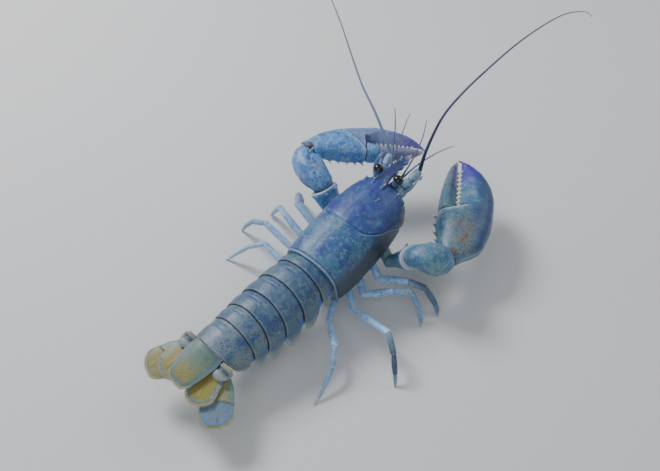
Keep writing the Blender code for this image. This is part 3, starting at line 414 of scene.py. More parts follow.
def shell_section(x, t):
    """Half width and level of the shell; t runs from the back, 0, by the lip to the belly, 1."""
    width = HALF_WIDTH(x)
    top = TOP_LEVEL(x)
    lip = LIP_LEVEL(x)
    over = np.clip(t / BACK_END, 0, 1) * math.pi / 2
    side = np.clip((t - BACK_END) / 0.27, 0, 1)
    under = np.clip((t - LIP) / 0.14, 0, 1)
    y_over = width * np.sin(over) ** SHOULDER(x)
    z_over = WIDEST_LEVEL + (top - WIDEST_LEVEL) * np.maximum(np.cos(over), 0) ** 0.95
    y_side = width * (1 - 0.10 * side ** 2)
    z_side = WIDEST_LEVEL + (lip - WIDEST_LEVEL) * np.sin(side * math.pi / 2) ** 1.2
    y_under = (width * 0.9 - 1.6) * (1 - under)
    z_under = lip + (BELLY_LEVEL(x) - lip) * ramp(under, 0.0, 0.16)
    y = np.where(t <= BACK_END, y_over, np.where(t <= SIDE_END, y_side, y_under))
    z = np.where(t <= BACK_END, z_over, np.where(t <= SIDE_END, z_side, z_under))
    return y, z


def carapace_rows(groove_shares, front_shares, places):
    """Rows across the back; their points slide along so that one row lies on the groove."""
    s, t = np.meshgrid(np.concatenate([groove_shares, np.ones(len(front_shares))]), places, indexing="ij")
    f = np.concatenate([np.zeros(len(groove_shares)), front_shares])[:, None] * np.ones(len(places))
    depth = np.full_like(s, 20.0)
    for _ in range(4):
        groove = GROOVE_LINE(depth)
        x = REAR_FACE + (groove - REAR_FACE) * s
        x = x + (FRONT_LINE(depth) - groove) * f
        y, z = shell_section(x, t)
        depth = -z
    return x, y, z, x - GROOVE_LINE(depth)


half_places = np.concatenate([np.linspace(0, BACK_END, 34), np.linspace(0.57, 0.82, 14),
                              [0.85, 0.87, 0.885, 0.92, 0.96, 1.0]])
rear_shares = np.unique(np.concatenate([np.linspace(0, 0.12, 16), np.linspace(0.12, 0.93, 44),
                                        np.linspace(0.93, 1, 12)]))
head_shares = np.concatenate([np.linspace(0, 0.05, 8)[1:], np.linspace(0.05, 0.22, 8)[1:],
                              np.linspace(0.22, 0.94, 34)[1:], np.linspace(0.94, 1.0, 5)[1:]])
x, y, z, from_groove = carapace_rows(rear_shares, head_shares, half_places)
print("carapace grid:", x.shape)

# %% [markdown]
# The relief is a sum of soft humps and dips, each faded out where it doesn't belong. Some of them are only
# tenths of a millimetre high, but the gloss shows them.

# %% Carapace relief
x, z, from_groove = (np.concatenate([a, a[:, -2:0:-1]], axis=1) for a in (x, z, from_groove))
y = np.concatenate([y, -y[:, -2:0:-1]], axis=1)
shell = torso(x, y, z)
depth = -z
on_shell = ramp(53 - depth, 2, 8)
in_groove = np.exp(-np.abs(from_groove / GROOVE_WIDTH) ** 1.6) * ramp(depth, -3, 3) * on_shell
relief = -GROOVE_DEPTH * in_groove
relief += 1.2 * hump(from_groove, 7.0, 5.5) * ramp(depth, 4, 12) * on_shell
band = x - REAR_FACE
relief += (0.5 * hump(band, 1.0, 1.0) - 0.5 * hump(band, 2.9, 0.7)) * on_shell
relief -= 0.2 * hump(y, 0.0, 0.6) * ramp(x, 4, 12) * ramp(104 - x, 4, 12) * (depth < 6)
relief += 0.22 * lumps(shell, 9.0, 2) * on_shell + 0.10 * lumps(shell, 3.2, 5) * on_shell
ridge_line = 9.0 + 0.05 * (104 - x)
relief += 0.7 * hump(np.abs(y), ridge_line, 2.0) * ramp(x, 78, 98) * (depth < 22)
shell = push(shell, relief)
print("carapace relief:", round(float(relief.min()), 2), "to", round(float(relief.max()), 2), "mm")

# %% Carapace front and marks
FACE_STEPS = ((0.985, 104.9), (0.95, 105.6), (0.90, FRONT_FACE), (0.6, FRONT_FACE), (0.25, FRONT_FACE))
patches = lumps(shell, 13.0, 41)
face_middle = torso(100, 0, WIDEST_LEVEL)
face_rows = []
for inward, station in FACE_STEPS:
    ring = between(face_middle, shell[-1], inward)
    face_rows.append(on_plane(ring, TORSO_FORWARD, (torso(station, 0, 0), TORSO_FORWARD)))
shell = np.concatenate([shell, face_rows])
extra_rows = [(0, len(face_rows)), (0, 0)]
# A pale mark just behind the groove is painted highlight on its lip, and the faint dark mark in the groove is
# painted shade.
groove_lip_highlight = hump(from_groove, -1.5, 0.6) * ramp(depth, 2, 8) * on_shell
head_violet = np.clip(0.66 + 0.5 * patches + 0.4 * lumps(shell[:len(x)], 4.0, 43), 0, 0.93)
marks = {
    "rim": 0.6 * hump(band, 1.1, 0.9) + 0.6 * groove_lip_highlight,
    "line": 0.03 * in_groove + 0.7 * hump(band, 2.9, 0.5) * on_shell,
    "violet": head_violet * ramp(from_groove, -0.5, 5.0),
    # The dark lower flanks are partly the shell's own colour and partly painted shade, less towards the
    # front.
    "shade": (0.84 - 0.34 * ramp(x, 60, 95)) * ramp(depth + 6.0 * patches, 7, 29),
    "warm": 0.9 * ramp(x, 90, 102) * ramp(depth, 24, 34) + 0.5 * hump(band, 2.0, 0.45) * on_shell,
}
marks = {name: np.pad(mark, extra_rows, mode="edge") for name, mark in marks.items()}
carapace_skins = [skin(shell, **marks)]

# %% Carapace spines
CARAPACE_SPINES = ((98, 26, 5.0, 1.6), (101, 58, 4.5, 1.7), (99, 84, 3.5, 1.5), (84, 30, 2.6, 1.2))
for sign in (1.0, -1.0):
    for station, angle, length, radius in CARAPACE_SPINES:
        width, level = shell_section(np.array(float(station)), np.array(BACK_END * angle / 90))
        foot = torso(station, sign * width, level - 0.4)
        way = torso_way(1.0, sign * 0.25, 0.35)
        carapace_skins.append(thorn(foot, way, length, radius, sunk=3.0))
print("carapace spines:", len(carapace_skins) - 1)

# %% [markdown]
# The rostrum is the beak between the eyes: a blade with a shallow gutter along its top and three thorns on
# each edge. A cube with bevels would lose the gutter, so it is a skin like the rest, its section rounded.

# %% Rostrum
ROSTRUM_WIDTH = profile((106, 113, 124, 134, 141, ROSTRUM_TIP), (6.6, 5.2, 4.8, 4.0, 2.4, 0.5))
ROSTRUM_TOP = profile((106, 112, 125, ROSTRUM_TIP), (-4.0, -5.0, -8.0, -13.0))
ROSTRUM_THICKNESS = profile((106, 124, 140, ROSTRUM_TIP), (7.0, 5.0, 3.0, 0.9))
rows = []
tips = []
stations = np.concatenate([np.linspace(96, 105, 7), np.linspace(FRONT_FACE, 143, 44),
                           [144.6, 145.6, ROSTRUM_TIP]])
for station in stations:
    w = float(ROSTRUM_WIDTH(station)) + max(0.0, FRONT_FACE - station) * 0.18
    level = float(ROSTRUM_TOP(station)) - max(0.0, FRONT_FACE - station) * 0.12
    d = float(ROSTRUM_THICKNESS(station))
    half = [(0.45 * w, -0.04 * w), (0.80 * w, 0.10 * w), (w, -0.12 * d), (0.80 * w, -0.60 * d),
            (0.35 * w, -0.94 * d)]
    outline = [(0, -0.16 * w)] + half + [(0, -d)] + [(-across, rise) for across, rise in reversed(half)]
    ring = np.array([torso(station, across, level + rise) for across, rise in outline])
    rows.append(rounded(ring, 4))
    tips.append(float(ramp(station, 136, 146)))
rostrum_rows = np.array(rows)
rostrum_rows = push(rostrum_rows, 0.12 * lumps(rostrum_rows, 2.6, 3))
rostrum_skins = [skin(rostrum_rows, tip=0.5 * np.array(tips)[:, None], violet=0.8, shade=0.22, line=0.45)]
for station, length in ((119, 4.2), (127, 4.6), (135, 4.2)):
    for sign in (1.0, -1.0):
        foot = torso(station, sign * (ROSTRUM_WIDTH(station) - 0.5),
                     ROSTRUM_TOP(station) - 0.18 * ROSTRUM_THICKNESS(station))
        rostrum_skins.append(thorn(foot, torso_way(1.0, sign * 0.42, 0.18), length, 1.15, pale=0.5))
foot = torso(132, 0, ROSTRUM_TOP(132) - 0.9 * ROSTRUM_THICKNESS(132))
rostrum_skins.append(thorn(foot, torso_way(1, 0, -0.45), 3.0, 1.0, sunk=1.5))
print("rostrum rows:", len(rostrum_rows), "thorns:", len(rostrum_skins) - 1)

# %% [markdown]
# Under the body the breastplate shows between the legs: a row of plates, one for each pair of legs,
# with a keel in the middle. They are one skin with a shallow step between the plates.

# %% Breastplate
BREAST_HALF_WIDTH = 12.5
BREAST_DEPTH = 10.0
LEG_STATIONS = {5: 8.0, 4: 24.0, 3: 40.0, 2: 56.0}
top = BELLY - GAP
low = top - BREAST_DEPTH
rows = []
PLATE_LENGTH = 16
for station in np.concatenate([[3.0, 3.4, 4.0], np.linspace(5, 81, 70), [82.5, 83.5, 84.0]]):
    narrow = 1.5 * (1 - float(ramp(min(station - 3, 84 - station), 0, 2.5)))
    outline = [(BREAST_HALF_WIDTH, top), (BREAST_HALF_WIDTH, low + 4.5), (BREAST_HALF_WIDTH, low + 1.6)]
    place = (station + PLATE_LENGTH / 2) % PLATE_LENGTH
    step_at = 0.55 * hump(place, 0.0, 1.1) + 0.55 * hump(place, float(PLATE_LENGTH), 1.1)
    for share in np.linspace(0.8, -0.8, 9):
        dip = 1.2 * hump(share, 0.0, 0.18) - 0.7 * hump(share, 0.0, 0.06) + step_at
        outline.append((share * BREAST_HALF_WIDTH, low + narrow + dip))
    outline += [(-across, level) for across, level in reversed(outline[:3])]
    rows.append(torso(station, *np.array(outline).T))
sternum_rows = np.array(rows)
print("breastplate rows:", sternum_rows.shape)

# %% [markdown]
# The eyes sit on short stalks at each side of the beak. The eye itself is a round black cap, glossy,
# and the stalk is plain shell, so they are two pieces with two materials.

# %% Eyes
EYE_RADIUS = 4.8
eye_parts = {}
for side, sign in SIDES:
    root = torso(FRONT_FACE + GAP, sign * 8.6, -11.0)
    centre = torso(112.8, sign * 11.2, -6.4)
    along = unit(centre - root)
    reach = float(np.linalg.norm(centre - root))
    stalk = article([root - along * 0.2, root + along * (reach - 3.6), centre + along * 0.4],
                    [(2.6, 2.6), (3.1, 3.1), (4.3, 4.3)], np.array([0.0, 0.0, 1.0]),
                    start=(root, TORSO_FORWARD), steps=10, sides=28, edge=0.3)
    wide = unit(np.cross(along, (0.0, 0.0, 1.0)))
    thick = np.cross(along, wide)
    cap = [oval(centre + along * EYE_RADIUS * math.cos(a), wide, thick, EYE_RADIUS * math.sin(a),
                EYE_RADIUS * math.sin(a), 32) for a in np.radians(np.linspace(112, 3, 22))]
    eye_parts[side] = (skin(stalk, shade=0.4), skin(np.array(cap)))
    print("eye", side, "centre", np.round(centre, 1))

# %% [markdown]
# Each long feeler leaves a stout stalk of three articles, with a leaf-like scale beside it. The whip
# itself is a chain of hundreds of tiny rings; here each ring is a small saw step on the radius.

# %% Long feelers
PEDUNCLE_JOINTS = ((12.0, -22.5), (15.0, -17.5), (16.5, -14.5))
PEDUNCLE_STATIONS = (FRONT_FACE + GAP, 124.0, 136.0)
FLAGELLUM_ENDS = {
    "right": ((144, -17.0, 113), (161, -18.2, 138), (186, -20.0, 151), (222, -22.5, 160),
              (262, -25.0, 166), (302, -28.0, 167), (338, -30.5, 162), (372, -33.0, 148), (390, -34, 134)),
    "left": ((139, 25, 101), (146, 40, 111), (153, 54, 117), (164, 76, 124), (181, 104, 136),
             (200, 134, 148), (216, 160, 155), (232, 186, 158), (246, 208, 156)),
}
FEELER_RING = 0.9
UP = np.array([0.0, 0.0, 1.0])


def feeler(route, radius_at, ring_length, sides=10):
    """A whip whose radius steps at each of its rings."""
    travelled = distances(route)
    total = travelled[-1]
    count = int(total / ring_length)
    stops = np.sort(np.concatenate([np.arange(count) * ring_length, (np.arange(count) + 0.82) * ring_length]))
    line = at_distance(route, travelled, stops)
    along = unit(np.gradient(line, axis=0))
    wide = unit(np.cross(along, UP + np.array([0.013, 0.021, 0.0])))
    thick = np.cross(along, wide)
    saw = np.where(np.arange(len(stops)) % 2 == 1, 1.10, 0.92)
    radius = radius_at(stops / total) * saw
    angle = 2 * math.pi * np.arange(sides) / sides
    rows = (line[:, None] + wide[:, None] * (np.cos(angle)[None, :, None] * radius[:, None, None])
            + thick[:, None] * (np.sin(angle)[None, :, None] * radius[:, None, None]))
    return rows, stops / total


FEELER_RADIUS = profile((0.0, 0.06, 0.3, 0.7, 1.0), (1.9, 1.45, 1.0, 0.62, 0.3))
SCALE_SIZES = ((2.5, 1.2), (3.7, 0.8), (3.0, 0.6), (0.5, 0.3))
feeler_parts = {}
for side, sign in SIDES:
    root, middle, end = (torso(x, sign * y, z) for x, (y, z) in zip(PEDUNCLE_STATIONS, PEDUNCLE_JOINTS))
    last = unit(end - middle)
    stalk_articles = ((root, between(root, middle, 0.50), ((5.6, 5.2), (6.3, 5.7), (5.7, 5.3))),
                      (between(root, middle, 0.52), middle, ((5.1, 4.7), (5.6, 5.1), (4.9, 4.5))),
                      (between(middle, end, 0.04), end, ((3.9, 3.7), (4.1, 3.9), (3.4, 3.3))))
    stalk_skins = []
    for first, second, sizes in stalk_articles:
        start = (root, TORSO_FORWARD) if first is root else None
        path = [first, between(first, second, 0.6), second]
        rows = article(path, sizes, UP, start=start, steps=10, sides=28)
        rim = 0.25 + 0.6 * toward_end(rows, 0.90)
        stalk_skins.append(skin(push(rows, 0.15 * lumps(rows, 2.5, 8)), rim=rim))
    core = article([root + TORSO_FORWARD, end - last], [(3.6, 3.4), (2.8, 2.6)], UP, sides=16)
    stalk_skins.append(skin(core))
    path = [torso(110, sign * 16.0, -20), torso(117, sign * 20.5, -17), torso(124, sign * 22.0, -14.5),
            torso(131, sign * 22.0, -12)]
    scale = article(path, SCALE_SIZES, np.array([0.0, 0.3 * sign, 1.0]), sides=20)
    stalk_skins.append(skin(scale, rim=0.3, shade=0.3))
    stalk_skins.append(thorn(torso(129.5, sign * 23.2, -12.6), torso_way(1, sign * 0.1, 0.15), 4.0, 1.0))
    for station, across, level in ((117, 18.6, -14.6), (124, 18.4, -12.4)):
        foot = torso(station, sign * across, level)
        stalk_skins.append(thorn(foot, torso_way(1, sign * 0.5, 0.5), 2.6, 1.0))
    route = smooth_path([end + last * GAP / 2] + list(FLAGELLUM_ENDS[side]), 24)
    rows, shares = feeler(route, FEELER_RADIUS, FEELER_RING)
    # The left whip is painted a paler grey-blue, as painted light.
    whip = skin(rows, tip=shares[:, None] * np.ones(10), shade=0.0 if side == "right" else 1.0)
    feeler_parts[side] = (stalk_skins, [whip])
    print("feeler", side, "rings", len(rows) // 2)

# %% [markdown]
# The small feelers under the beak smell the water. Each has a short stalk and two fine whips.

# %% Small feelers
ANTENNULE_TIPS = {
    "right": (((16, -6, 9), (34, -13, 15), (50, -20, 17)), ((12, -3, 18), (22, -4, 36), (27, -3, 52))),
    "left": (((7, 3, 24), (9, 4, 46), (8, 5, 66)), ((16, 5, 16), (30, 9, 28), (42, 12, 36))),
}
small_feelers = {}
for side, sign in SIDES:
    root = torso(FRONT_FACE + GAP, sign * 4.2, -16.5)
    end = torso(122, sign * 6.6, -16.5)
    joint_a = between(root, end, 0.45)
    joint_b = between(root, end, 0.74)
    stalk_end = end + (end - joint_b) * 0.1
    stalk_articles = ((root, joint_a, 2.7), (joint_a, joint_b, 2.5), (joint_b, stalk_end, 2.1))
    skins = []
    for first, second, size in stalk_articles:
        start = (root, TORSO_FORWARD) if first is root else None
        path = [first, between(first, second, 0.5), second]
        sizes = [(size, size * 0.9), (size * 1.1, size), (size, size * 0.9)]
        rows = article(path, sizes, np.array([0.0, 1.0, 0.0]), start=start, sides=20, edge=0.5)
        skins.append(skin(rows, shade=1.0))
    for number, offsets in enumerate(ANTENNULE_TIPS[side]):
        shift = np.array([-2.0, 0.9 if number else -0.9, 0.0])
        route = smooth_path([end + shift, end + shift + np.array([4.0, sign * 0.8, 1.5])]
                            + [end + np.array(offset, float) for offset in offsets], 16)
        rows, shares = feeler(route, profile((0.0, 1.0), (0.95, 0.35)), 0.7, sides=8)
        skins.append(skin(rows, tip=shares[:, None] * np.ones(8), shade=0.6))
    small_feelers[side] = skins
    print("small feeler", side, "skins", len(skins))

# %% [markdown]
# The outer mouth legs fold forward under the head. Their inner edges carry a comb of stiff bristles.
# Every hair is a thin three-sided spike, because thousands of them have to stay cheap.

# %% Hairs
random = np.random.default_rng(7)


def bristle(root, direction, length, radius):
    """A thin three-sided hair."""
    along = unit(direction)
    wide = unit(np.cross(along, UP + np.array([0.11, 0.07, 0.0])))
    thick = np.cross(along, wide)
    root = np.asarray(root, float)
    places = (root - along * 0.4, root + along * length * 0.6, root + along * length)
    return np.array([oval(place, wide, thick, radius * size, radius * size, 3)
                     for place, size in zip(places, (1.0, 0.7, 0.15))])


# %% Mouth legs
BRISTLES_PER_MOUTH_LEG = 90
MOUTH_LEG_SIZES = ((4.0, 3.6), (4.4, 3.6), (3.8, 3.0), (2.9, 2.5), (2.2, 2.0), (0.6, 0.6))
mouth_legs = {}
for side, sign in SIDES:
    root = torso(84.0 + GAP, sign * 6.5, -51.5)
    path = [root, torso(96, sign * 7.0, -51.5), torso(108, sign * 6.2, -48.0),
            torso(117, sign * 5.6, -42), torso(124, sign * 5.0, -40), torso(131, sign * 4.6, -42.5)]
    rows = article(path, MOUTH_LEG_SIZES, np.array([0.0, 1.0, 0.0]), start=(root, TORSO_FORWARD),
                   sides=24, steps=9)
    skins = [skin(push(rows, 0.1 * lumps(rows, 3, 4)), warm=0.3)]
    line = smooth_path(path, 30)
    for share in random.uniform(0.12, 0.93, BRISTLES_PER_MOUTH_LEG):
        point = line[int(share * (len(line) - 1))]
        way = torso_way(0.5 + 0.3 * random.random(), -sign * 0.9, 0.2 - 0.9 * random.random())
        hair = bristle(point + unit(way) * 2.4 * (1.15 - share), way, 3.2, 0.14)
        skins.append(skin(hair, tip=1.0))
    mouth_legs[side] = skins
    print("mouth leg", side, "bristles", len(skins) - 1)

# %% [markdown]
# The abdomen is six rings that slide over one another. Each has a smooth low front part that goes under the
# ring before it, a groove across, a raised hind part with a pale edge, and a side plate that hangs down.

# %% Abdomen line
RING_EDGES = (0.0, 10.5, 31.0, 50.5, 69.0, 86.5, 113.0)
RING_HALF_WIDTH = profile(RING_EDGES, (26.5, 27.0, 28.8, 28.3, 26.8, 24.7, 21.6))
RING_HEIGHT = profile(RING_EDGES, (24.5, 24.8, 26.0, 25.0, 23.6, 21.2, 16.2))
PLEURA_DROPS = (8.0, 18.5, 18.5, 17.5, 16.0, 11.5)
PLEURA_SWEEP = (0.0, 2.0, 7.0, 10.0, 10.5, 5.0, -8.0)
SWEEP_DEPTH = 40.0
UNDERSIDE = 6.0
TAIL_SLOPES = (math.radians(6.0), math.radians(13.0))
TAIL_TURN = math.radians(5.5)
TAIL_ROLL = math.radians(6.0)
TAIL_LENGTH = 150.0


def tail_direction(distance):
    """The way along the abdomen's top line; it sinks and turns more with the distance."""
    share = distance / TAIL_LENGTH
    slope = TAIL_SLOPES[0] + (TAIL_SLOPES[1] - TAIL_SLOPES[0]) * share
    turn = TAIL_TURN * share
    return np.array([-math.cos(slope) * math.cos(turn), math.cos(slope) * math.sin(turn), -math.sin(slope)])


def tail_frame(distance):
    """The top line of the abdomen: a point, the way along it, its left and its up."""
    steps = 40
    point = torso(REAR_FACE, 0.0, TOP_LEVEL(REAR_FACE))
    for i in range(steps):
        point = point + tail_direction((i + 0.5) * distance / steps) * distance / steps
    along = tail_direction(distance)
    left = unit(np.cross(along, UP))
    left = left if left[1] > 0 else -left
    up = unit(np.cross(left, along))
    up = up if up[2] > 0 else -up
    roll = TAIL_ROLL * distance / TAIL_LENGTH
    c = math.cos(roll)
    s = math.sin(roll)
    return point, along, c * left + s * up, c * up - s * left


def ring_outline(width, height, drop, flare):
    """A section of a ring: an arch over the back, a side plate on each side and a flat underside."""
    arch = [(width * math.cos(a), height * math.sin(a)) for a in np.linspace(0, math.pi, 13)]
    inside = UNDERSIDE + 0.45 * (drop - UNDERSIDE)
    left_side = [(-width - flare, -0.55 * drop), (-width - flare + 0.8, -drop), (3.2 - width, -inside),
                 (6.0 - width, -UNDERSIDE)]
    right_side = [(-a, b) for a, b in reversed(left_side)]
    return arch + left_side + [(0.0, -UNDERSIDE - 0.4)] + right_side


# %% Abdomen sections
SECTION_POINTS = 22
ROUND = 4
PLATE_FLARE = 1.8
LOBE = profile((0.0, 0.12, 0.35, 0.62, 0.86, 1.0), (0.22, 0.45, 0.85, 1.0, 0.80, 0.30))
SWELL = profile((0.0, 0.10, 0.30, 0.70, 1.0), (0.955, 0.965, 0.99, 1.0, 1.0))
RING_SHARES = np.unique(np.concatenate([[0.0, 0.012, 0.03], np.linspace(0.05, 0.94, 42),
                                        [0.96, 0.975, 0.988, 1.0]]))


def ring_section(number, share):
    """One section of a ring, at a share of its length from the front edge."""
    first, last = RING_EDGES[number - 1:number + 1]
    distance = first + GAP / 2 + (last - first - GAP) * share
    point, along, left, up = tail_frame(distance)
    lobe = float(LOBE(share))
    swell = float(SWELL(share))
    height = float(RING_HEIGHT(distance))
    drop = max(PLEURA_DROPS[number - 1] * lobe, UNDERSIDE + 1.0)
    outline = ring_outline(float(RING_HALF_WIDTH(distance)) * swell, height, drop, PLATE_FLARE * lobe)
    across, level = np.array(outline).T
    depth = height - np.where(level < 0, level, level * swell)
    sweep = PLEURA_SWEEP[number - 1] * (1 - share) + PLEURA_SWEEP[number] * share
    ring = (point + np.outer(across, left) - np.outer(depth, up)
            + np.outer(sweep * depth / SWEEP_DEPTH, along))
    if number == 1 and share == 0.0:
        ring = on_plane(ring, along, (torso(REAR_FACE - GAP, 0, 0), TORSO_FORWARD))
    elif number == 1:
        front = torso(REAR_FACE - GAP - 0.9 * share, 0, 0)
        over = np.maximum((ring - front) @ TORSO_FORWARD, 0.0)
        ring = ring - TORSO_FORWARD * over[:, None]
    return rounded(ring, ROUND)


# %% [markdown]
# Where the back ends and a side plate begins is told from a point's place round the section: the number
# down is below zero on the back, zero at its edge and grows down the plate. The last two rings are also
# paler in clouds.

# %% Abdomen skins
RING_FADING = {5: 0.0, 6: 0.12}
NOT_FADED = -1.0
KNOB_HEIGHT = 1.9
ring_skins = {}
for number in range(1, 7):
    rows = np.array([ring_section(number, share) for share in RING_SHARES])
    around = np.arange(rows.shape[1]) / ROUND
    down = np.where(around > 17.5, SECTION_POINTS - around, around - 12)
    down = np.where(around < 6, -around, down)
    on_back = 1 - ramp(down, 0.0, 0.5)
    plate = (down > -0.1) * (down < 2.9)
    length = RING_EDGES[number] - RING_EDGES[number - 1]
    along_ring = RING_SHARES[:, None] * length
    before_edge = length - along_ring
    relief = (0.3 * ramp(along_ring, 0.30 * length, 0.42 * length)
              - 0.3 * hump(along_ring, 0.30 * length, 0.8)
              - 0.12 * hump(before_edge, 1.9, 0.6)) * on_back
    knob = hump(down, 0.15, 0.6) * hump(along_ring, 2.6, 2.0)
    relief = relief - 0.5 * hump(before_edge, 0.0, 0.8) + KNOB_HEIGHT * knob
    relief = relief + 0.2 * lumps(rows, 6.0, 11 + number) + 0.09 * lumps(rows, 2.2, 3)
    rows = push(rows, relief * ramp(along_ring, 0.0, 0.6))

    lower_plate = ramp(down, 0.2, 1.7) * plate
    blots = lumps(rows, 7.0, 61)
    faded = np.clip(RING_FADING.get(number, NOT_FADED) + 0.35 * blots, 0, 0.4)
    warm = np.maximum(0.85 * lower_plate, faded)
    rim = 0.4 * hump(before_edge, 1.0, 0.5) * on_back + 0.5 * hump(lower_plate, 1.0, 0.12)
    # The dark lines at each ring's hind edge and at the front of its plate are painted shade where the rings
    # overlap; the dark blots are the shell's own mottles.
    line = 0.8 * hump(before_edge, 0.1, 0.4) * on_back + 0.5 * hump(along_ring, 0.6, 0.8) * plate
    line = line + 0.22 * np.clip(blots - 0.25, 0, 1)
    shade = 0.5 * hump(down, -0.4, 1.8) * (0.7 + 0.6 * lumps(rows, 9.0, 45))
    shade = shade + 0.6 * (1 - on_back) * (1 - plate)
    ring_skins[number] = [skin(rows, knob=knob, warm=warm, rim=rim, line=line, shade=shade)]
print("abdomen rings:", len(ring_skins), "of", rows.shape)

# %% [markdown]
# Under each middle ring hangs a pair of swimming legs: a stalk and two soft blades fringed with hairs.

# %% Swimming legs
SWIMMERET_DEPTH = 27.5
SWIMMERET_PLACE = 0.42
for number in range(2, 6):
    first, last = RING_EDGES[number - 1:number + 1]
    point, along, left, up = tail_frame(0.5 * (first + last))
    sweep = 0.5 * (PLEURA_SWEEP[number - 1] + PLEURA_SWEEP[number]) * SWIMMERET_DEPTH / SWEEP_DEPTH
    skins = ring_skins[number]
    for sign in (1.0, -1.0):
        root = (point - up * SWIMMERET_DEPTH + left * sign * (float(RING_HALF_WIDTH(last)) * SWIMMERET_PLACE)
                + along * sweep)
        fork = root - up * 6.0 + along * 1.0
        stalk = article([root, between(root, fork, 0.5), fork], [(2.4, 1.3), (2.4, 1.3), (2.2, 1.1)],
                        left, sides=16)
        skins.append(skin(stalk, warm=0.5))
        for spread in (2.6, -1.9):
            start = fork + up * 1.6
            path = [start, start - up * 6.5 + along * 2.5 + left * sign * spread,
                    start - up * 13 + along * 7.5 + left * sign * spread * 1.4]
            blade = article(path, [(1.2, 0.7), (2.3, 0.5), (0.6, 0.3)], left, sides=16)
            skins.append(skin(blade, warm=0.6, rim=0.2))
            for point_on in smooth_path(path, 14)[8:]:
                for side_way in (1.0, -1.0):
                    way = left * side_way - up * 0.9 + along * 0.5
                    hair = bristle(point_on + left * side_way * 1.1, way, 2.2, 0.13)
                    skins.append(skin(hair, tip=1.0))
    print("ring", number, "skins", len(skins))

# %% [markdown]
# The tail fan is five thin vanes. A real vane is stiff and blue at the leading edge, thin and ochre in the
# middle, and its hind edge carries a fringe of soft hairs. The two outer ones have a toothed seam across.

# %% Tail fan form
TELSON_LENGTH = 36.0
VANE_STATIONS = (0.0, 0.2, 0.5, 0.8, 0.93, 1.0)
FRINGE_SPACING = 0.22
VANE_EDGE = 0.45
VANE_FURROWS = 46.0
SEAM_TEETH = 34.0


def vane(root, along, left, up, length, outer, inner, thicknesses, swing, drop, seam=None, ridges=(0.0,)):
    """Rows of a vane, its marks, and its edge as (share, side, point, way out)."""
    outer_at = profile(VANE_STATIONS, outer)
    inner_at = profile(VANE_STATIONS, inner)
    across_top = np.linspace(1, -1, 41)
    across_low = np.linspace(-1, 1, 21)[1:-1]
    v = np.concatenate([across_top, across_low])
    is_top = np.arange(len(v)) < len(across_top)
    shares = np.unique(np.concatenate([np.linspace(0, 0.9, 60), np.linspace(0.9, 1.0, 16)]))
    centre = np.array(root, float)
    before = 0.0
    rows = []
    edge = []
    marks = {name: [] for name in ("rim", "line", "knob", "warm", "shade", "violet")}
    for share in shares:
        turn = swing * min(share / 0.22, 1.0)
        forward = along * math.cos(turn) + left * math.sin(turn)
        across = left * math.cos(turn) - along * math.sin(turn)
        centre = centre + forward * (length * (share - before)) - up * (drop * (share ** 2 - before ** 2))
        before = share
        a = float(outer_at(share))
        b = float(inner_at(share))
        t = thicknesses[0] + (thicknesses[1] - thicknesses[0]) * share
        rise = VANE_EDGE * (1 - 0.5 * np.abs(v) ** 8) + t * (1 - v * v)
        for ridge in ridges:
            rise = rise + 0.55 * (1 - 0.6 * share) * hump(v, ridge, 0.07) * float(ramp(share, 0.02, 0.15))
        rise = rise + 0.10 * np.sin(v * VANE_FURROWS) * float(ramp(share, 0.35, 0.9)) * (1 - v ** 4)
        beyond = np.zeros_like(v)
        on_seam = np.zeros_like(v)
        if seam is not None:
            seam_at = seam - 0.05 * (1 - v * v) + 0.008 * np.sign(np.sin(v * SEAM_TEETH))
            beyond = ramp(share, seam_at, seam_at + 0.02)
            on_seam = hump(share, seam_at + 0.01, 0.012)
            rise = rise + 0.75 * ramp(share, 0.4, seam) * (1 - beyond) * (1 - v ** 6)
        low = -(VANE_EDGE * (1 - 0.5 * np.abs(v) ** 8) + 0.35 * t * (1 - v * v))
        height = np.where(is_top, rise, low)
        place_across = 0.5 * (a + b) + 0.5 * (a - b) * v
        rows.append(centre + across * place_across[:, None] + up * height[:, None])

        margin = np.maximum(np.abs(v), (share - 0.80) / 0.2)
        marks_here = {
            "rim": 0.42 * ramp(margin, 0.72, 0.95),
            "line": 0.38 * hump(margin, 0.965, 0.025) + 0.7 * on_seam,
            "knob": 0.7 * ramp(margin, 0.975, 1.0),
            "warm": (1 - ramp(margin, 0.5, 0.86)) * ramp(share, 0.12, 0.42) * (1 - 0.8 * beyond),
            "shade": 1 - ramp(share, 0.0, 0.25),
            "violet": 0.6 * beyond,
        }
        for name, mark in marks_here.items():
            marks[name].append(mark + 0.0 * v)
        for side_v, place_edge in ((1.0, a), (-1.0, b)):
            out = across * side_v * max(0.15, 1.1 - share) + forward * (0.45 + share)
            edge.append((share, side_v, centre + across * place_edge, unit(out)))
    return np.array(rows), {name: np.array(mark) for name, mark in marks.items()}, edge


# %% [markdown]
# The fringe grows from the edge that a vane hands back: close hairs of uneven length in two layers, which
# get shorter at both ends.

# %% Fringe
def fringe(edge, up, start_share, length):
    """Soft hairs side by side along the hind edge, in two layers."""
    right = [(p, w) for share, v, p, w in edge if v < 0 and share >= start_share]
    left = [(p, w) for share, v, p, w in edge if v > 0 and share >= start_share]
    line = right + left[::-1]
    points = np.array([p for p, _ in line])
    ways = np.array([w for _, w in line])
    travelled = distances(points)
    hairs = []
    for layer in (0.25, -0.15):
        for stop in np.arange(0.2, travelled[-1], FRINGE_SPACING):
            stop = stop + random.uniform(-0.1, 0.1)
            point = at_distance(points, travelled, stop)
            way = unit(at_distance(ways, travelled, stop))
            way = way + up * random.uniform(-0.10, 0.14) + np.cross(up, way) * random.uniform(-0.12, 0.12)
            from_end = min(stop, travelled[-1] - stop)
            grown = length * random.uniform(0.7, 1.0) * min(1.0, 0.35 + from_end / 9.0)
            hairs.append(skin(bristle(point + up * layer, way, grown, 0.16), tip=1.0))
    return hairs


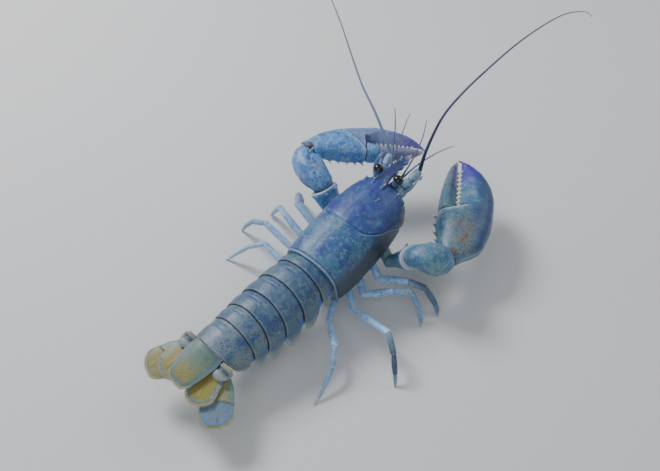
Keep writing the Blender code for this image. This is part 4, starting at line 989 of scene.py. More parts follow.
# %% Tail fan sizes
TELSON_HALF = (15.2, 16.3, 15.2, 13.0, 10.2, 6.4)
ENDOPOD_LEAF = ((4.2, 10.0, 14.0, 13.5, 9.5, 4.2), (3.8, 8.4, 10.6, 10.6, 8.0, 4.0))
EXOPOD_LEAF = ((4.0, 10.5, 15.5, 16.0, 12.5, 5.6), (3.6, 8.0, 11.0, 11.5, 9.0, 4.4))
ENDOPOD_LENGTH = 38.0
EXOPOD_LENGTH = {"left": 46.0, "right": 51.0}
UROPOD_SWINGS = {"left": (0.14, 0.34), "right": (-0.30, -0.74)}
TELSON_DEPTH = 4.2
ENDOPOD_DEPTH = 9.4
EXOPOD_DEPTH = 13.8
BOSS_DEPTH = 7.0
BOSS_STATIONS = (0.0, 3.2, 7.2, 11.0, 13.5)
BOSS_SIZES = ((6.8, 3.0), (7.9, 3.2), (7.4, 2.8), (5.4, 2.0), (2.2, 0.9))
BOSS_SPREAD = {"left": 0.9, "right": 1.15}
BOSS_HOLLOW = 1.5
point, along, left, up = tail_frame(RING_EDGES[-1] + GAP / 2)
tail_face = (point, unit(along + up * (PLEURA_SWEEP[-1] / SWEEP_DEPTH)))
print("tail fan from", np.round(point, 1))


def seated(rows):
    """Rows whose first ring lies on the face that the last abdomen ring leaves for the fan."""
    rows[0] = on_plane(rows[0], along, tail_face)
    return rows


# %% Telson
fan = {}
rows, marks, edge = vane(point - up * TELSON_DEPTH, along, left, up, TELSON_LENGTH, TELSON_HALF,
                         tuple(-value for value in TELSON_HALF), (2.6, 0.5), 0.0, 1.5, ridges=())
marks["warm"] = marks["warm"] * (0.35 + 0.65 * ramp((rows - point) @ along / TELSON_LENGTH, 0.42, 0.68))
marks["shade"] = np.maximum(marks["shade"], 0.75 + 0.25 * lumps(rows, 8.0, 51)) * (1 - 0.65 * marks["warm"])
fan["telson"] = [skin(seated(rows), **marks)] + fringe(edge, up, 0.82, 3.4)
print("telson hairs:", len(fan["telson"]) - 1)

# %% [markdown]
# Each side has an inner vane with a boss at its root and an outer vane with the seam. The left outer vane
# is ochre to its end in the photo, so its violet gives way to the warm mark.

# %% Side vanes
for side, sign in SIDES:
    inner_swing, outer_swing = UROPOD_SWINGS[side]
    outlines = []
    for leaf, inner in (ENDOPOD_LEAF, EXOPOD_LEAF):
        high, low = (leaf, inner) if sign > 0 else (inner, leaf)
        outlines.append((high, tuple(-value for value in low)))
    rows, marks, edge = vane(point - up * ENDOPOD_DEPTH + left * sign * 11.5, along, left, up,
                             ENDOPOD_LENGTH, *outlines[0], (1.6, 0.4), inner_swing, 1.5)
    boss_root = point - up * BOSS_DEPTH + left * sign * 21.0
    boss = article([boss_root + along * back for back in BOSS_STATIONS],
                   [(wide * BOSS_SPREAD[side], thick) for wide, thick in BOSS_SIZES], left,
                   start=tail_face, sides=40, steps=8, edge=0.8, lean=0.2)
    high = (boss - boss.mean(axis=1, keepdims=True)) @ up
    back = (boss - boss_root) @ along
    hollow = hump(high, 2.6, 1.6) * hump(back, 4.6, 2.2)
    boss = push(boss, 0.3 * lumps(boss, 3.0, 6) - BOSS_HOLLOW * hollow)
    boss_rim = 0.8 * hump(back, 9.6, 2.4)
    # The boss's hollow is darkened by the line mark, as painted shade in the recess.
    boss_skin = skin(boss, tip=0.3 * (1 - hollow), line=0.95 * hollow, rim=boss_rim)
    fan[f"endopod_{side}"] = [skin(seated(rows), **marks), boss_skin] + fringe(edge, up, 0.62, 3.6)

    rows, marks, edge = vane(point - up * EXOPOD_DEPTH + left * sign * 14.5, along, left, up,
                             EXOPOD_LENGTH[side], *outlines[1], (2.2, 0.4), outer_swing, 2.0,
                             seam=0.66, ridges=(0.1 * sign,))
    if side == "left":
        marks["warm"] = np.maximum(marks["warm"], 1.4 * marks["violet"])
        marks["violet"] = 0.0 * marks["violet"]
    else:
        marks["warm"] = 0.5 * marks["warm"]
    fan[f"exopod_{side}"] = [skin(seated(rows), **marks)] + fringe(edge, up, 0.60, 3.0)
print("tail fan skins:", {name: len(skins) for name, skins in fan.items()})

# %% [markdown]
# Walking legs. The first two pairs end in small pincers, the last two in single claws. Each leg is a chain
# of articles, and each article starts inside the one before, as a real one does.

# %% Walking leg sizes
COXA_LEVEL = -51.6
PINCER_PAIRS = (2, 3)
STOUTNESS = {2: 1.02, 3: 0.98, 4: 0.90, 5: 0.80}
# How dark each pair is below the knee: partly the legs' own darker colour and partly painted shade, and
# the right pairs differ. The left ones get less of it.
TONE_AND_SHADE_BELOW_KNEE = {2: 0.80, 3: 0.45, 4: 0.88, 5: 0.38}
LEFT_DARKNESS = 0.6
LEG_JOINTS = {
    ("right", 5): ((-3, -30, 17), (-24, -56, 25), (-37, -65, 18), (-53, -69, 8), (-66, -71, 0)),
    ("right", 4): ((21, -38, 18), (13, -84, 31), (3, -98, 24), (-4, -106, 10), (-8, -110, 0)),
    ("right", 3): ((38, -35, 20), (50, -59, 33), (62, -70, 30), (63, -80, 13), (58, -87, 0)),
    ("right", 2): ((60, -35, 23), (69, -61, 31), (78, -74, 24), (80, -85, 9), (78, -91, 0)),
    ("left", 5): ((16, 34, 19), (16, 65, 33), (8, 78, 26), (2, 92, 10), (-2, 99, 0)),
    ("left", 4): ((36, 36, 17), (32, 79, 38), (32, 97, 28), (34, 110, 11), (34, 116, 0)),
    ("left", 3): ((50, 36, 19), (50, 70, 40), (60, 88, 32), (66, 102, 12), (68, 109, 0)),
    ("left", 2): ((66, 36, 22), (66, 70, 44), (80, 82, 38), (94, 92, 16), (100, 96, 0)),
}


def leg_root(sign, station):
    """Where a leg leaves the breastplate."""
    return torso(station, sign * (BREAST_HALF_WIDTH + GAP), COXA_LEVEL)


def across_limb(root, knee):
    """The level direction across a limb that rises from its root to its knee."""
    return unit(np.cross(unit((knee - root) * np.array([1, 1, 0])), UP))


def scaled(sizes, factor):
    return [(a * factor, b * factor) for a, b in sizes]


class Leg:
    """A walking leg's joints, its way across, its stoutness and how dark it is below the knee."""

    def __init__(self, side, pair, joints):
        self.sign = 1.0 if side == "left" else -1.0
        self.root = leg_root(self.sign, LEG_STATIONS[pair])
        self.hip, self.knee, self.wrist, self.ankle, self.toe = (np.asarray(p, float) for p in joints)
        self.across = across_limb(self.root, self.knee)
        self.stout = STOUTNESS[pair]
        self.dark = TONE_AND_SHADE_BELOW_KNEE[pair] * (1.0 if side == "right" else LEFT_DARKNESS)


walking_legs = {key: Leg(*key, joints) for key, joints in LEG_JOINTS.items()}
print("walking legs:", len(walking_legs))

# %% [markdown]
# Above the knee stand a hip article, a short second one and the long merus. The merus and the article
# after it are cut by the same slanted plane, moved apart by the gap.

# %% Walking legs above the knee
upper_skins = {}
for (side, pair), leg in walking_legs.items():
    root, hip, knee, stout, across = leg.root, leg.hip, leg.knee, leg.stout, leg.across
    coxa = root + np.array([0, leg.sign * 5.5, -3.6])
    wall = (root, np.array([0.0, leg.sign, 0.0]))
    sizes = [(5.0, 4.2)] + scaled([(5.0, 4.1), (4.3, 3.7)], stout)
    hip_rows = article([root, coxa, between(coxa, hip, 0.25)], sizes, across, start=wall, sides=24)

    path = [between(coxa, hip, 0.18), between(coxa, hip, 0.6), hip + unit(hip - coxa) * 0.6]
    thigh_rows = article(path, scaled([(3.6, 3.2), (3.6, 3.2), (3.3, 3.0)], stout), across, sides=24)

    path = [hip - unit(knee - hip) * 1.2] + [between(hip, knee, share) for share in (0.2, 0.5, 0.90)] + [knee]
    sizes = scaled([(2.7, 2.4), (3.3, 2.9), (3.7, 3.1), (3.5, 3.0), (3.35, 2.95)], stout)
    merus = article(path, sizes, across, end=mitre(hip, knee, leg.wrist, -GAP / 2), sides=28)
    merus_skin = skin(push(merus, 0.06 * lumps(merus, 2.4, pair)), rim=toward_end(merus, 0.88) * 0.5)
    upper_skins[side, pair] = [skin(hip_rows, warm=0.2, shade=0.5), skin(thigh_rows, shade=0.3), merus_skin]
print("upper legs:", len(upper_skins))

# %% Walking legs below the knee
lower_skins = {}
for (side, pair), leg in walking_legs.items():
    knee, wrist, ankle, stout, across = leg.knee, leg.wrist, leg.ankle, leg.stout, leg.across
    path = [knee, between(knee, wrist, 0.4), between(knee, wrist, 0.85), wrist + unit(wrist - knee) * 0.5]
    sizes = scaled([(2.8, 2.5), (3.15, 2.8), (3.1, 2.75), (2.7, 2.4)], stout)
    carpus = article(path, sizes, across, start=mitre(leg.hip, knee, wrist, GAP / 2), sides=28)
    # Below the knee the shade mark is partly the leg's own darker colour and partly painted shade.
    shade = leg.dark * (0.6 + 0.33 * toward_end(carpus, 0.0, 0.7))
    rim = 0.35 * toward_end(carpus, 0.85)
    carpus_skin = skin(push(carpus, 0.05 * lumps(carpus, 2.0, pair + 7)), shade=shade, rim=rim)

    palm_half = (2.5, 2.1) if pair in PINCER_PAIRS else (2.4, 2.0)
    path = [wrist - unit(ankle - wrist) * 0.8, between(wrist, ankle, 0.15), between(wrist, ankle, 0.5), ankle]
    sizes = scaled([(2.0, 1.8), (2.55, 2.25), (2.9, 2.4), palm_half], stout)
    shin = article(path, sizes, across, end=mitre(wrist, ankle, leg.toe, -GAP / 2), sides=28)
    # The shin's darkness is partly its own colour and partly painted shade.
    shin_skin = skin(push(shin, 0.05 * lumps(shin, 1.8, pair + 3)), shade=leg.dark)
    lower_skins[side, pair] = [carpus_skin, shin_skin]
print("lower legs:", len(lower_skins))

# %% [markdown]
# Each toe's last section is cut by the floor's plane, so the animal stands on small flats. Short hairs
# grow round it in six rows.

# %% Toes
HAIRS_PER_TOE = 60


def toe_hairs(path, radius, count):
    """Short hairs in rows round the end of a leg."""
    line = smooth_path(path, 20)
    along = unit(line[-1] - line[0])
    wide = unit(np.cross(along, UP + np.array([0.3, 0.1, 0.0])))
    thick = np.cross(along, wide)
    hairs = []
    for number in range(count):
        share = random.uniform(0.05, 0.85)
        angle = (number % 6) * math.pi / 3 + random.uniform(-0.2, 0.2)
        out = wide * math.cos(angle) + thick * math.sin(angle)
        point = line[int(share * (len(line) - 1))] + out * radius * (1 - 0.6 * share)
        if point[2] > 2.0:
            hairs.append(skin(bristle(point, out + along * 1.1, 1.5, 0.09), tip=0.8))
    return hairs


toe_skins = {}
for (side, pair), leg in walking_legs.items():
    ankle, toe, stout, across = leg.ankle, leg.toe, leg.stout, leg.across
    if pair in PINCER_PAIRS:
        path = [ankle - unit(toe - ankle) * 2.5] + [between(ankle, toe, share) for share in (0.35, 0.7, 0.9)]
        path = [point - across * shift for point, shift in zip(path, (1.2, 1.35, 1.2, 0.95))]
        finger = article(path, [(0.9, 1.5), (1.0, 1.5), (0.8, 1.1), (0.3, 0.35)], across, sides=18)
        # The pincer finger's darkness is partly its own colour and partly painted shade.
        lower_skins[side, pair].append(skin(finger, shade=0.6 * leg.dark, tip=toward_end(finger, 0.7)))
        lower_skins[side, pair] += toe_hairs(path[1:], 1.3, HAIRS_PER_TOE)
        path = [between(ankle, toe, share) for share in (0.0, 0.35, 0.75, 1.0)]
        path = [point + across * shift for point, shift in zip(path, (1.45, 1.45, 1.2, 1.05))]
        sizes = [(1.15, 1.6), (1.1, 1.5), (0.9, 1.1), (0.55, 0.6)]
        hair_radius = 1.2
    else:
        path = [ankle, between(ankle, toe, 0.35), between(ankle, toe, 0.75), toe]
        sizes = scaled([(1.9, 1.6), (1.8, 1.5)], stout) + [(1.2, 1.1), (0.6, 0.6)]
        hair_radius = 1.7
    start = mitre(leg.wrist, ankle, toe, GAP / 2)
    floor = (np.array([toe[0], toe[1], 0.0]), UP)
    toe_rows = article(path, sizes, across, start=start, end=floor, sides=20, edge=0.4, lean=0.2)
    toe_rows[..., 2] = np.maximum(toe_rows[..., 2], 0.0)
    # The toe's darkness is partly its own colour and partly painted shade.
    toe_skin = skin(toe_rows, shade=0.7 * leg.dark, tip=toward_end(toe_rows, 0.7))
    toe_skins[side, pair] = [toe_skin] + toe_hairs(path, hair_radius, HAIRS_PER_TOE)
print("toes:", len(toe_skins))

# %% [markdown]
# The large legs carry the claws. Their sections are ovals filled a little at the corners, and they thin
# towards the biting edge of each finger. The knobs and thorns are set on from the same named places.

# %% Claw sizes
CLAW_STATION = 74.0
CLAW_JOINTS = {
    "right": ((81, -30, 25), (77, -58, 55), (106, -75, 41), (209, -12, 50)),
    "left": ((84, 31, 27), (86, 55, 60), (103, 88, 75), (189, 15, 60)),
}
CLAW_HINGE = {"right": 0.42, "left": 0.47}
CLAW_STATIONS = (-0.07, 0.0, 0.12, 0.32, 0.52, 0.70, 0.85, 0.95, 1.0)
CLAW_OUTER = {"right": (12.0, 20.0, 30.0, 36.5, 37.5, 34.0, 25.0, 12.0, 0.8),
              "left": (7.0, 13.0, 20.5, 27.0, 28.5, 26.0, 19.5, 10.0, 0.8)}
CLAW_INNER = {"right": (-6.0, -7.0, -10.0, -14.0, -14.0, -12.0, -9.0, -4.5, -0.8),
              "left": (-4.0, -4.5, -6.5, -10.0, -11.5, -10.5, -8.5, -4.5, -0.8)}
CLAW_BITE = {"right": (4.0, 3.0, 1.5), "left": (9.0, 6.5, 1.8)}
CLAW_THICKNESS = {"right": 15.0, "left": 13.0}
BITE_THINNING = 0.62
KNOB_PLACE = {"right": (-4.0, 4.8, 13.6), "left": (-2.0, 0.0, 8.8)}
KNOB_RADIUS = {"right": 4.8, "left": 3.7}
CLAW_SIDES = 72
CLAW_SQUARENESS = 0.85


# %% Claw frame
class Claw:
    """The claw's own line and directions: along it, out to its outer edge, and up; and its sizes."""

    def __init__(self, side):
        self.side = side
        self.hip, self.elbow, self.wrist, self.tip = (np.asarray(p, float) for p in CLAW_JOINTS[side])
        self.along = unit(self.tip - self.wrist)
        self.up = unit(UP - self.along[2] * self.along)
        self.outward = np.cross(self.along, self.up) if side == "right" else np.cross(self.up, self.along)
        self.length = float(np.linalg.norm(self.tip - self.wrist))
        self.wrist_way = unit(0.7 * unit(self.wrist - self.elbow) + self.along)
        back, aside, high = KNOB_PLACE[side]
        self.knob = self.wrist + self.wrist_way * back + self.outward * aside + self.up * high
        self.knob_radius = KNOB_RADIUS[side]
        self.hinge = CLAW_HINGE[side]
        full = CLAW_THICKNESS[side]
        self.outer_at = profile(CLAW_STATIONS, CLAW_OUTER[side])
        self.inner_at = profile(CLAW_STATIONS, CLAW_INNER[side])
        self.bite_at = profile((self.hinge, 0.7, 1.0), CLAW_BITE[side])
        self.thick_at = profile((-0.07, 0.05, 0.3, 0.6, 0.85, 1.0), (7.0, 9.5, full, 0.86 * full, 7.0, 1.2))

    def point(self, share, across, level):
        return self.wrist + self.along * (self.length * share) + self.outward * across + self.up * level

    def ring(self, share, inner, outer, thickness, bite_way=0.0):
        """A section from the inner to the outer edge; it thins to the side that bite_way names."""
        centre = self.point(share, 0.5 * (inner + outer), 0.0)
        half = 0.5 * (outer - inner)
        ring = oval(centre, self.outward, self.up, half, thickness, CLAW_SIDES, CLAW_SQUARENESS)
        near = np.maximum(0.0, bite_way * ((ring - centre) @ self.outward) / half)
        level = (ring - centre) @ self.up
        return ring - self.up * (level * BITE_THINNING * near)[:, None]

    def across(self, rows):
        """How far points are from the claw's line towards its outer edge."""
        return (rows - self.wrist) @ self.outward


claws = {side: Claw(side) for side, _ in SIDES}
for side, claw in claws.items():
    print(side, "claw length", round(claw.length, 1), "mm")

# %% [markdown]
# The upper articles flare to a rim where the next one turns in them. The forearm is short and knobbly.

# %% Arms
CUP_DEPTH = 2.2
ISCHIUM_SIZES = ((6.0, 4.2), (6.2, 5.0), (5.6, 5.4), (5.8, 5.6))
MERUS_SHARES = (0.0, 0.3, 0.7, 0.86, 0.91, 0.97, 1.0)
MERUS_SIZES = ((5.6, 5.4), (7.4, 6.2), (11.5, 8.4), (12.8, 9.6), (13.6, 10.6), (13.5, 10.6), (12.6, 9.8))
MERUS_SPINES = ((0.72, -1.0, 0.9, 8.0), (0.90, -1.0, 0.35, 11.4), (0.90, 0.25, 1.0, 10.2))


def way_out(claw, lean, lift, along):
    """A direction away from a limb, level with it by lean and upward by lift."""
    way = unit(lean * claw.outward + lift * claw.up)
    return unit(way - np.dot(way, along) * along)


claw_pieces = {}
for side, sign in SIDES:
    claw = claws[side]
    root = leg_root(sign, CLAW_STATION)
    hip, elbow = claw.hip, claw.elbow
    across = across_limb(root, elbow)
    wall = (root, np.array([0.0, sign, 0.0]))
    path = [root, between(root, hip, 0.3), between(root, hip, 0.75), hip]
    rows = article(path, ISCHIUM_SIZES, across, start=wall, end=mitre(root, hip, elbow, -GAP / 2), sides=32)
    claw_pieces[side, "ischium"] = [skin(push(rows, 0.1 * lumps(rows, 3, 6)), shade=0.4)]

    limb = unit(elbow - hip)
    rows = article([between(hip, elbow, share) for share in MERUS_SHARES], MERUS_SIZES, across,
                   start=mitre(root, hip, elbow, GAP / 2), end=(elbow - limb * GAP / 2, limb),
                   sides=44, squareness=0.88)
    from_end = (elbow - rows.mean(axis=1)) @ limb
    rows = push(rows, 0.15 * lumps(rows, 4, 9))
    # The cup's inner wall is darkened by the shade mark, as painted shade in the recess.
    cup = [between(rows[-1].mean(axis=0), rows[-1], share) - limb * sunk
           for share, sunk in ((0.95, 0.0), (0.90, 0.3), (0.86, CUP_DEPTH))]
    rim = 0.8 * np.append(1 - ramp(from_end, 0.8, 2.6), (1.0, 0.5, 0.0))[:, None]
    inside = np.append(np.zeros(len(rows)), (0.0, 0.6, 1.0))[:, None]
    skins = [skin(np.concatenate([rows, cup]), rim=rim, shade=inside)]
    for share, lean, lift, reach in MERUS_SPINES:
        way = way_out(claw, lean, lift, limb)
        foot = between(hip, elbow, share) + way * reach
        skins.append(thorn(foot, way + 0.5 * limb, 4.2, 1.5, sunk=3.0))
    claw_pieces[side, "merus"] = skins
    print("arm", side, "spines", len(skins) - 1)

# %% [markdown]
# The forearm bends from the arm's way to the claw's, so its middle line is a Bezier curve, which leaves
# each end in the right direction. A brown knob stands on its joint with the claw, with painted shade round
# its foot.

# %% Forearms
CARPUS_BENDS = {"right": (27.0, 11.0), "left": (13.0, 15.0)}
CARPUS_SHARES = (0.12, 0.31, 0.55, 0.77, 1.0)
CARPUS_SIZES = ((8.2, 7.2), (11.2, 9.8), (13.4, 11.6), (14.0, 12.7), (12.0, 11.0), (7.8, 7.6))
CARPUS_SPINES = ((0.30, -1.0, 0.7, 11.0), (0.60, -1.0, 0.95, 12.6), (0.80, -1.0, 0.45, 10.8),
                 (0.50, -0.1, 1.0, 12.4), (0.74, 0.3, 1.0, 11.4))
KNOB_OUTLINE = ((1.04, -0.6), (1.0, 0.0), (0.9, 0.28), (0.7, 0.5), (0.38, 0.64), (0.08, 0.68))


def bezier(points, share):
    """A place on the curve that a few points pull."""
    while len(points) > 1:
        points = [between(a, b, share) for a, b in zip(points[:-1], points[1:])]
    return points[0]


for side, sign in SIDES:
    claw = claws[side]
    elbow, wrist, way_in = claw.elbow, claw.wrist, claw.wrist_way
    limb = unit(elbow - claw.hip)
    across = across_limb(leg_root(sign, CLAW_STATION), elbow)
    bends = [elbow, elbow + limb * CARPUS_BENDS[side][0], wrist - way_in * CARPUS_BENDS[side][1], wrist]
    neck = elbow - limb * (CUP_DEPTH - GAP)
    rows = article([neck] + [bezier(bends, share) for share in CARPUS_SHARES], CARPUS_SIZES, across,
                   start=(neck, limb), end=(wrist - way_in * GAP / 2, way_in), sides=56, steps=12,
                   squareness=0.84)
    rows = push(rows, 0.7 * lumps(rows, 6.5, 14) + 0.22 * lumps(rows, 2.4, 2))
    size = claw.knob_radius
    dome = np.array([oval(claw.knob + claw.up * rise * size, claw.along, claw.outward,
                          wide * size, wide * size, 40) for wide, rise in KNOB_OUTLINE])
    knob_skin = skin(push(dome, 0.25 * lumps(dome, 2.5, 36)), knob=0.8 + 0.15 * lumps(dome, 2.0, 37))
    # A dark ring round the knob's foot is painted shade.
    line = 0.8 * hump(np.linalg.norm(rows - claw.knob, axis=-1), 1.12 * size, 1.2)
    warm = 0.25 * ramp(lumps(rows, 7.0, 35), 0.1, 0.5)
    # Painted shade: the neck inside the arm's cup and the lower side of the forearm are darkened.
    shade = 0.8 * (1 - ramp((rows - elbow) @ limb, -1.0, 3.0)) + 0.5 * ramp(-(rows - wrist)[..., 2], 4, 14)
    skins = [knob_skin, skin(rows, line=line, warm=warm, shade=shade)]
    for share, lean, lift, reach in CARPUS_SPINES:
        centre = bezier(bends, share)
        travel = unit(bezier(bends, share + 0.05) - centre)
        way = way_out(claw, lean, lift, travel)
        skins.append(thorn(centre + way * reach, way + 0.45 * travel, 4.6, 1.7, sunk=3.5))
    claw_pieces[side, "carpus"] = skins
    print("forearm", side, "knob at", np.round(claw.knob, 1))

# %% [markdown]
# The palm and the fixed finger are one article. The movable finger turns on the palm's inner end. Between
# them stand the teeth, blunt on the crusher and sharper on the cutter, set so that they pass each other.

# %% Palm form
BITE_HALF_GAP = 1.7


def through(rings, knots, stops):
    """More rings on smooth lines through a few."""
    rings = np.asarray(rings, float)
    knots = np.asarray(knots, float)
    tangent = np.gradient(rings, knots, axis=0)
    i = np.clip(np.searchsorted(knots, stops, side="right") - 1, 0, len(knots) - 2)
    step = (knots[i + 1] - knots[i])[:, None, None]
    t = ((stops - knots[i])[:, None, None]) / step
    return hermite(t, step, rings[i], rings[i + 1], tangent[i], tangent[i + 1])


def palm_and_finger(claw):
    """Rows of the palm and its fixed finger, and the share of the claw's length at each."""
    hinge = claw.hinge
    start = (claw.wrist + claw.wrist_way * GAP / 2, claw.wrist_way)
    knots = (0.0, 0.10, 0.18, 0.28, 0.37, hinge)
    keys = [on_plane(claw.ring(0.0, -8.5, 8.5, 7.5), claw.along, start)]
    for knot in knots[1:]:
        inner = float(claw.inner_at(knot)) + (1.0 if knot == hinge else 0.0)
        keys.append(claw.ring(knot, inner, float(claw.outer_at(knot)), float(claw.thick_at(knot))))
    palm_shares = np.linspace(0.0, hinge, 64)[:-1]
    rows = list(through(keys, knots, palm_shares))
    finger_shares = np.concatenate([hinge + np.array([0.0, 0.0012, 0.0035, 0.007, 0.012]),
                                    np.linspace(hinge + 0.02, 0.96, 84), [0.972, 0.983, 0.992, 0.998, 1.0]])
    for share in finger_shares:
        cut = float(ramp(share, hinge - 0.002, hinge + 0.004))
        apart = float(ramp(share, hinge, hinge + 0.16))
        outer = float(claw.outer_at(share))
        thick = float(claw.thick_at(share))
        bite = min(float(claw.bite_at(share)) + BITE_HALF_GAP, outer - 1.2)
        whole = claw.ring(share, float(claw.inner_at(share)) + 1.0, outer, thick)
        inside = np.maximum(bite - claw.across(whole), 0.0)
        whole = whole + claw.outward * (cut * inside)[:, None]
        finger = claw.ring(share, bite, outer, thick * 0.94, bite_way=-1.0)
        rows.append(between(whole, finger, apart))
    return np.array(rows), np.concatenate([palm_shares, finger_shares])[:, None]


# %% [markdown]
# The joint between palm and movable finger shows as a fold on the shell. On the crusher it starts at the
# hinge and leans forward to the outer edge; on the cutter it leans back. A pale mark on the fold is painted
# highlight, and a dark one beside it is painted shadow.

# %% Palms
RIDGE_SLANT = 0.003
# Where the cutter's fold is: its share of the length at the middle line, and the change per millimetre.
SLANTED_JOINT = (0.418, -0.0064)
TOOTH_LENGTH = 2.4
TOOTH_START = 0.05
# For each claw: how many large teeth, the radius of one, and how blunt it is.
TEETH = {"right": (10, 1.6, 0.5), "left": (11, 1.3, 0.3)}
PALM_SPINES = {"right": (0.07, 0.14, 0.21, 0.29, 0.37), "left": (0.09, 0.16, 0.23, 0.30, 0.37, 0.43)}
SPINE_DROP = {"right": 0.0, "left": 0.5}
for side, claw in claws.items():
    hinge = claw.hinge
    rows, shares = palm_and_finger(claw)
    level = (rows - claw.wrist) @ claw.up
    across = claw.across(rows)
    past_bite = across - claw.bite_at(shares)
    on_edge = hump(level, 0.0, 2.2) * ramp(past_bite, 4.0, 10.0)
    if side == "right":
        ridge_line = hinge + RIDGE_SLANT * np.maximum(past_bite, 0.0)
        on_ridge = ramp(past_bite, 0.0, 3.0) * (1 - ramp(past_bite, 8.0, 12.0)) * ramp(level, 0.0, 4.0)
    else:
        ridge_line = SLANTED_JOINT[0] + SLANTED_JOINT[1] * across
        on_ridge = ramp(across, -12.0, -9.0) * (1 - ramp(across, 16.0, 21.0)) * ramp(level, 0.0, 3.0)
    hinge_side = (1 - ramp(past_bite, 0.0, 5.0)) * (1.0 if side == "right" else 0.2)
    relief = 0.34 * lumps(rows, 11.0, 21) + 0.20 * lumps(rows, 4.0, 22) + 0.09 * lumps(rows, 1.8, 23)
    relief = relief + 0.5 * on_edge * ramp(shares, 0.1, 0.3)
    relief = relief - 0.45 * hump(shares, hinge - 0.035, 0.012) * hinge_side
    fold = 0.45 * hump(shares, ridge_line, 0.009) - 0.4 * hump(shares, ridge_line + 0.016, 0.008)
    relief = relief + fold * on_ridge
    relief = relief * ramp(shares, 0.0, 0.03) * (1 - ramp(shares, 0.97, 1.0))
    rows = push(rows, relief)

    if side == "right":
        blotch = hump(shares, 0.20, 0.20) * hump(across, 13.0, 12.0) * (0.85 + 0.4 * lumps(rows, 7.0, 33))
    else:
        blotch = 0.6 * ramp(shares, ridge_line + 0.01, ridge_line + 0.05)
        blotch = blotch * (1 - ramp(shares, 0.75, 0.95)) * (1 - ramp(past_bite, 6.0, 13.0))
    rim = 0.8 * hump(shares, hinge - 0.008, 0.012) * hinge_side
    # Painted highlight on the fold.
    rim = rim + 0.7 * hump(shares, ridge_line - 0.003, 0.008) * on_ridge
    rim = rim + 0.5 * hump(level, 0.0, 1.0) * ramp(past_bite, 4, 10) * (1 - ramp(shares, 0.15, 0.5))
    from_knob = np.linalg.norm(rows - claw.knob, axis=-1)
    # Painted shadow just beside the fold.
    line = 0.8 * hump(shares, ridge_line + 0.014, 0.007) * on_ridge
    # The same dark ring round the knob's foot, painted shade, carries on over the palm.
    line = line + 0.7 * hump(from_knob, 1.12 * claw.knob_radius, 1.2)
    if side == "right":
        # The crusher's outer edge is darkened as painted shade, less on its keel.
        outer_edge_shade = 0.8 * ramp(across + 4.0 * lumps(rows, 12.0, 34), 15.0, 27.0)
        line = line + outer_edge_shade * (1 - 0.8 * on_edge)
    # The shade mark darkens the claw's underside as painted shade.
    skins = [skin(rows, warm=np.clip(blotch, 0, 1), violet=0.95 * ramp(shares, 0.60, 0.92), rim=rim,
                  line=line, tip=0.3 * ramp(shares, 0.96, 1.0), shade=0.7 * ramp(-level, 2.0, 10.0))]

    count, tooth_radius, blunt = TEETH[side]
    pitch = (0.93 - hinge - TOOTH_START) / count
    for number in range(count):
        share = hinge + TOOTH_START + pitch * number
        foot = claw.point(share, float(claw.bite_at(share)) + BITE_HALF_GAP + 0.3, 0.0)
        grown = 1.25 - 0.5 * number / count
        skins.append(thorn(foot, -claw.outward, TOOTH_LENGTH, tooth_radius * grown, blunt=blunt, pale=0.0))
        share = share + 0.5 * pitch
        foot = claw.point(share, float(claw.bite_at(share)) + BITE_HALF_GAP + 0.5, 0.4)
        skins.append(thorn(foot, -claw.outward, 1.0, tooth_radius * 0.45, blunt=0.4, pale=0.9))
    drop = SPINE_DROP[side]
    for share in PALM_SPINES[side]:
        foot = claw.point(share, float(claw.inner_at(share)) + 1.0 + 2.4 * drop, 1.0 - 12.0 * drop)
        way = 0.5 * claw.along - drop * claw.up - claw.outward
        skins.append(thorn(foot, way, 5.8, 2.0, sunk=3.5, sides=16, pale=0.6))
    claw_pieces[side, "propodus"] = skins
    print("palm", side, "rows", len(rows), "teeth and spines", len(skins) - 1)

# %% [markdown]
# The movable finger starts just past the hinge. A shallow collar groove crosses it further on, and its
# teeth stand half a pitch further on than the palm's.

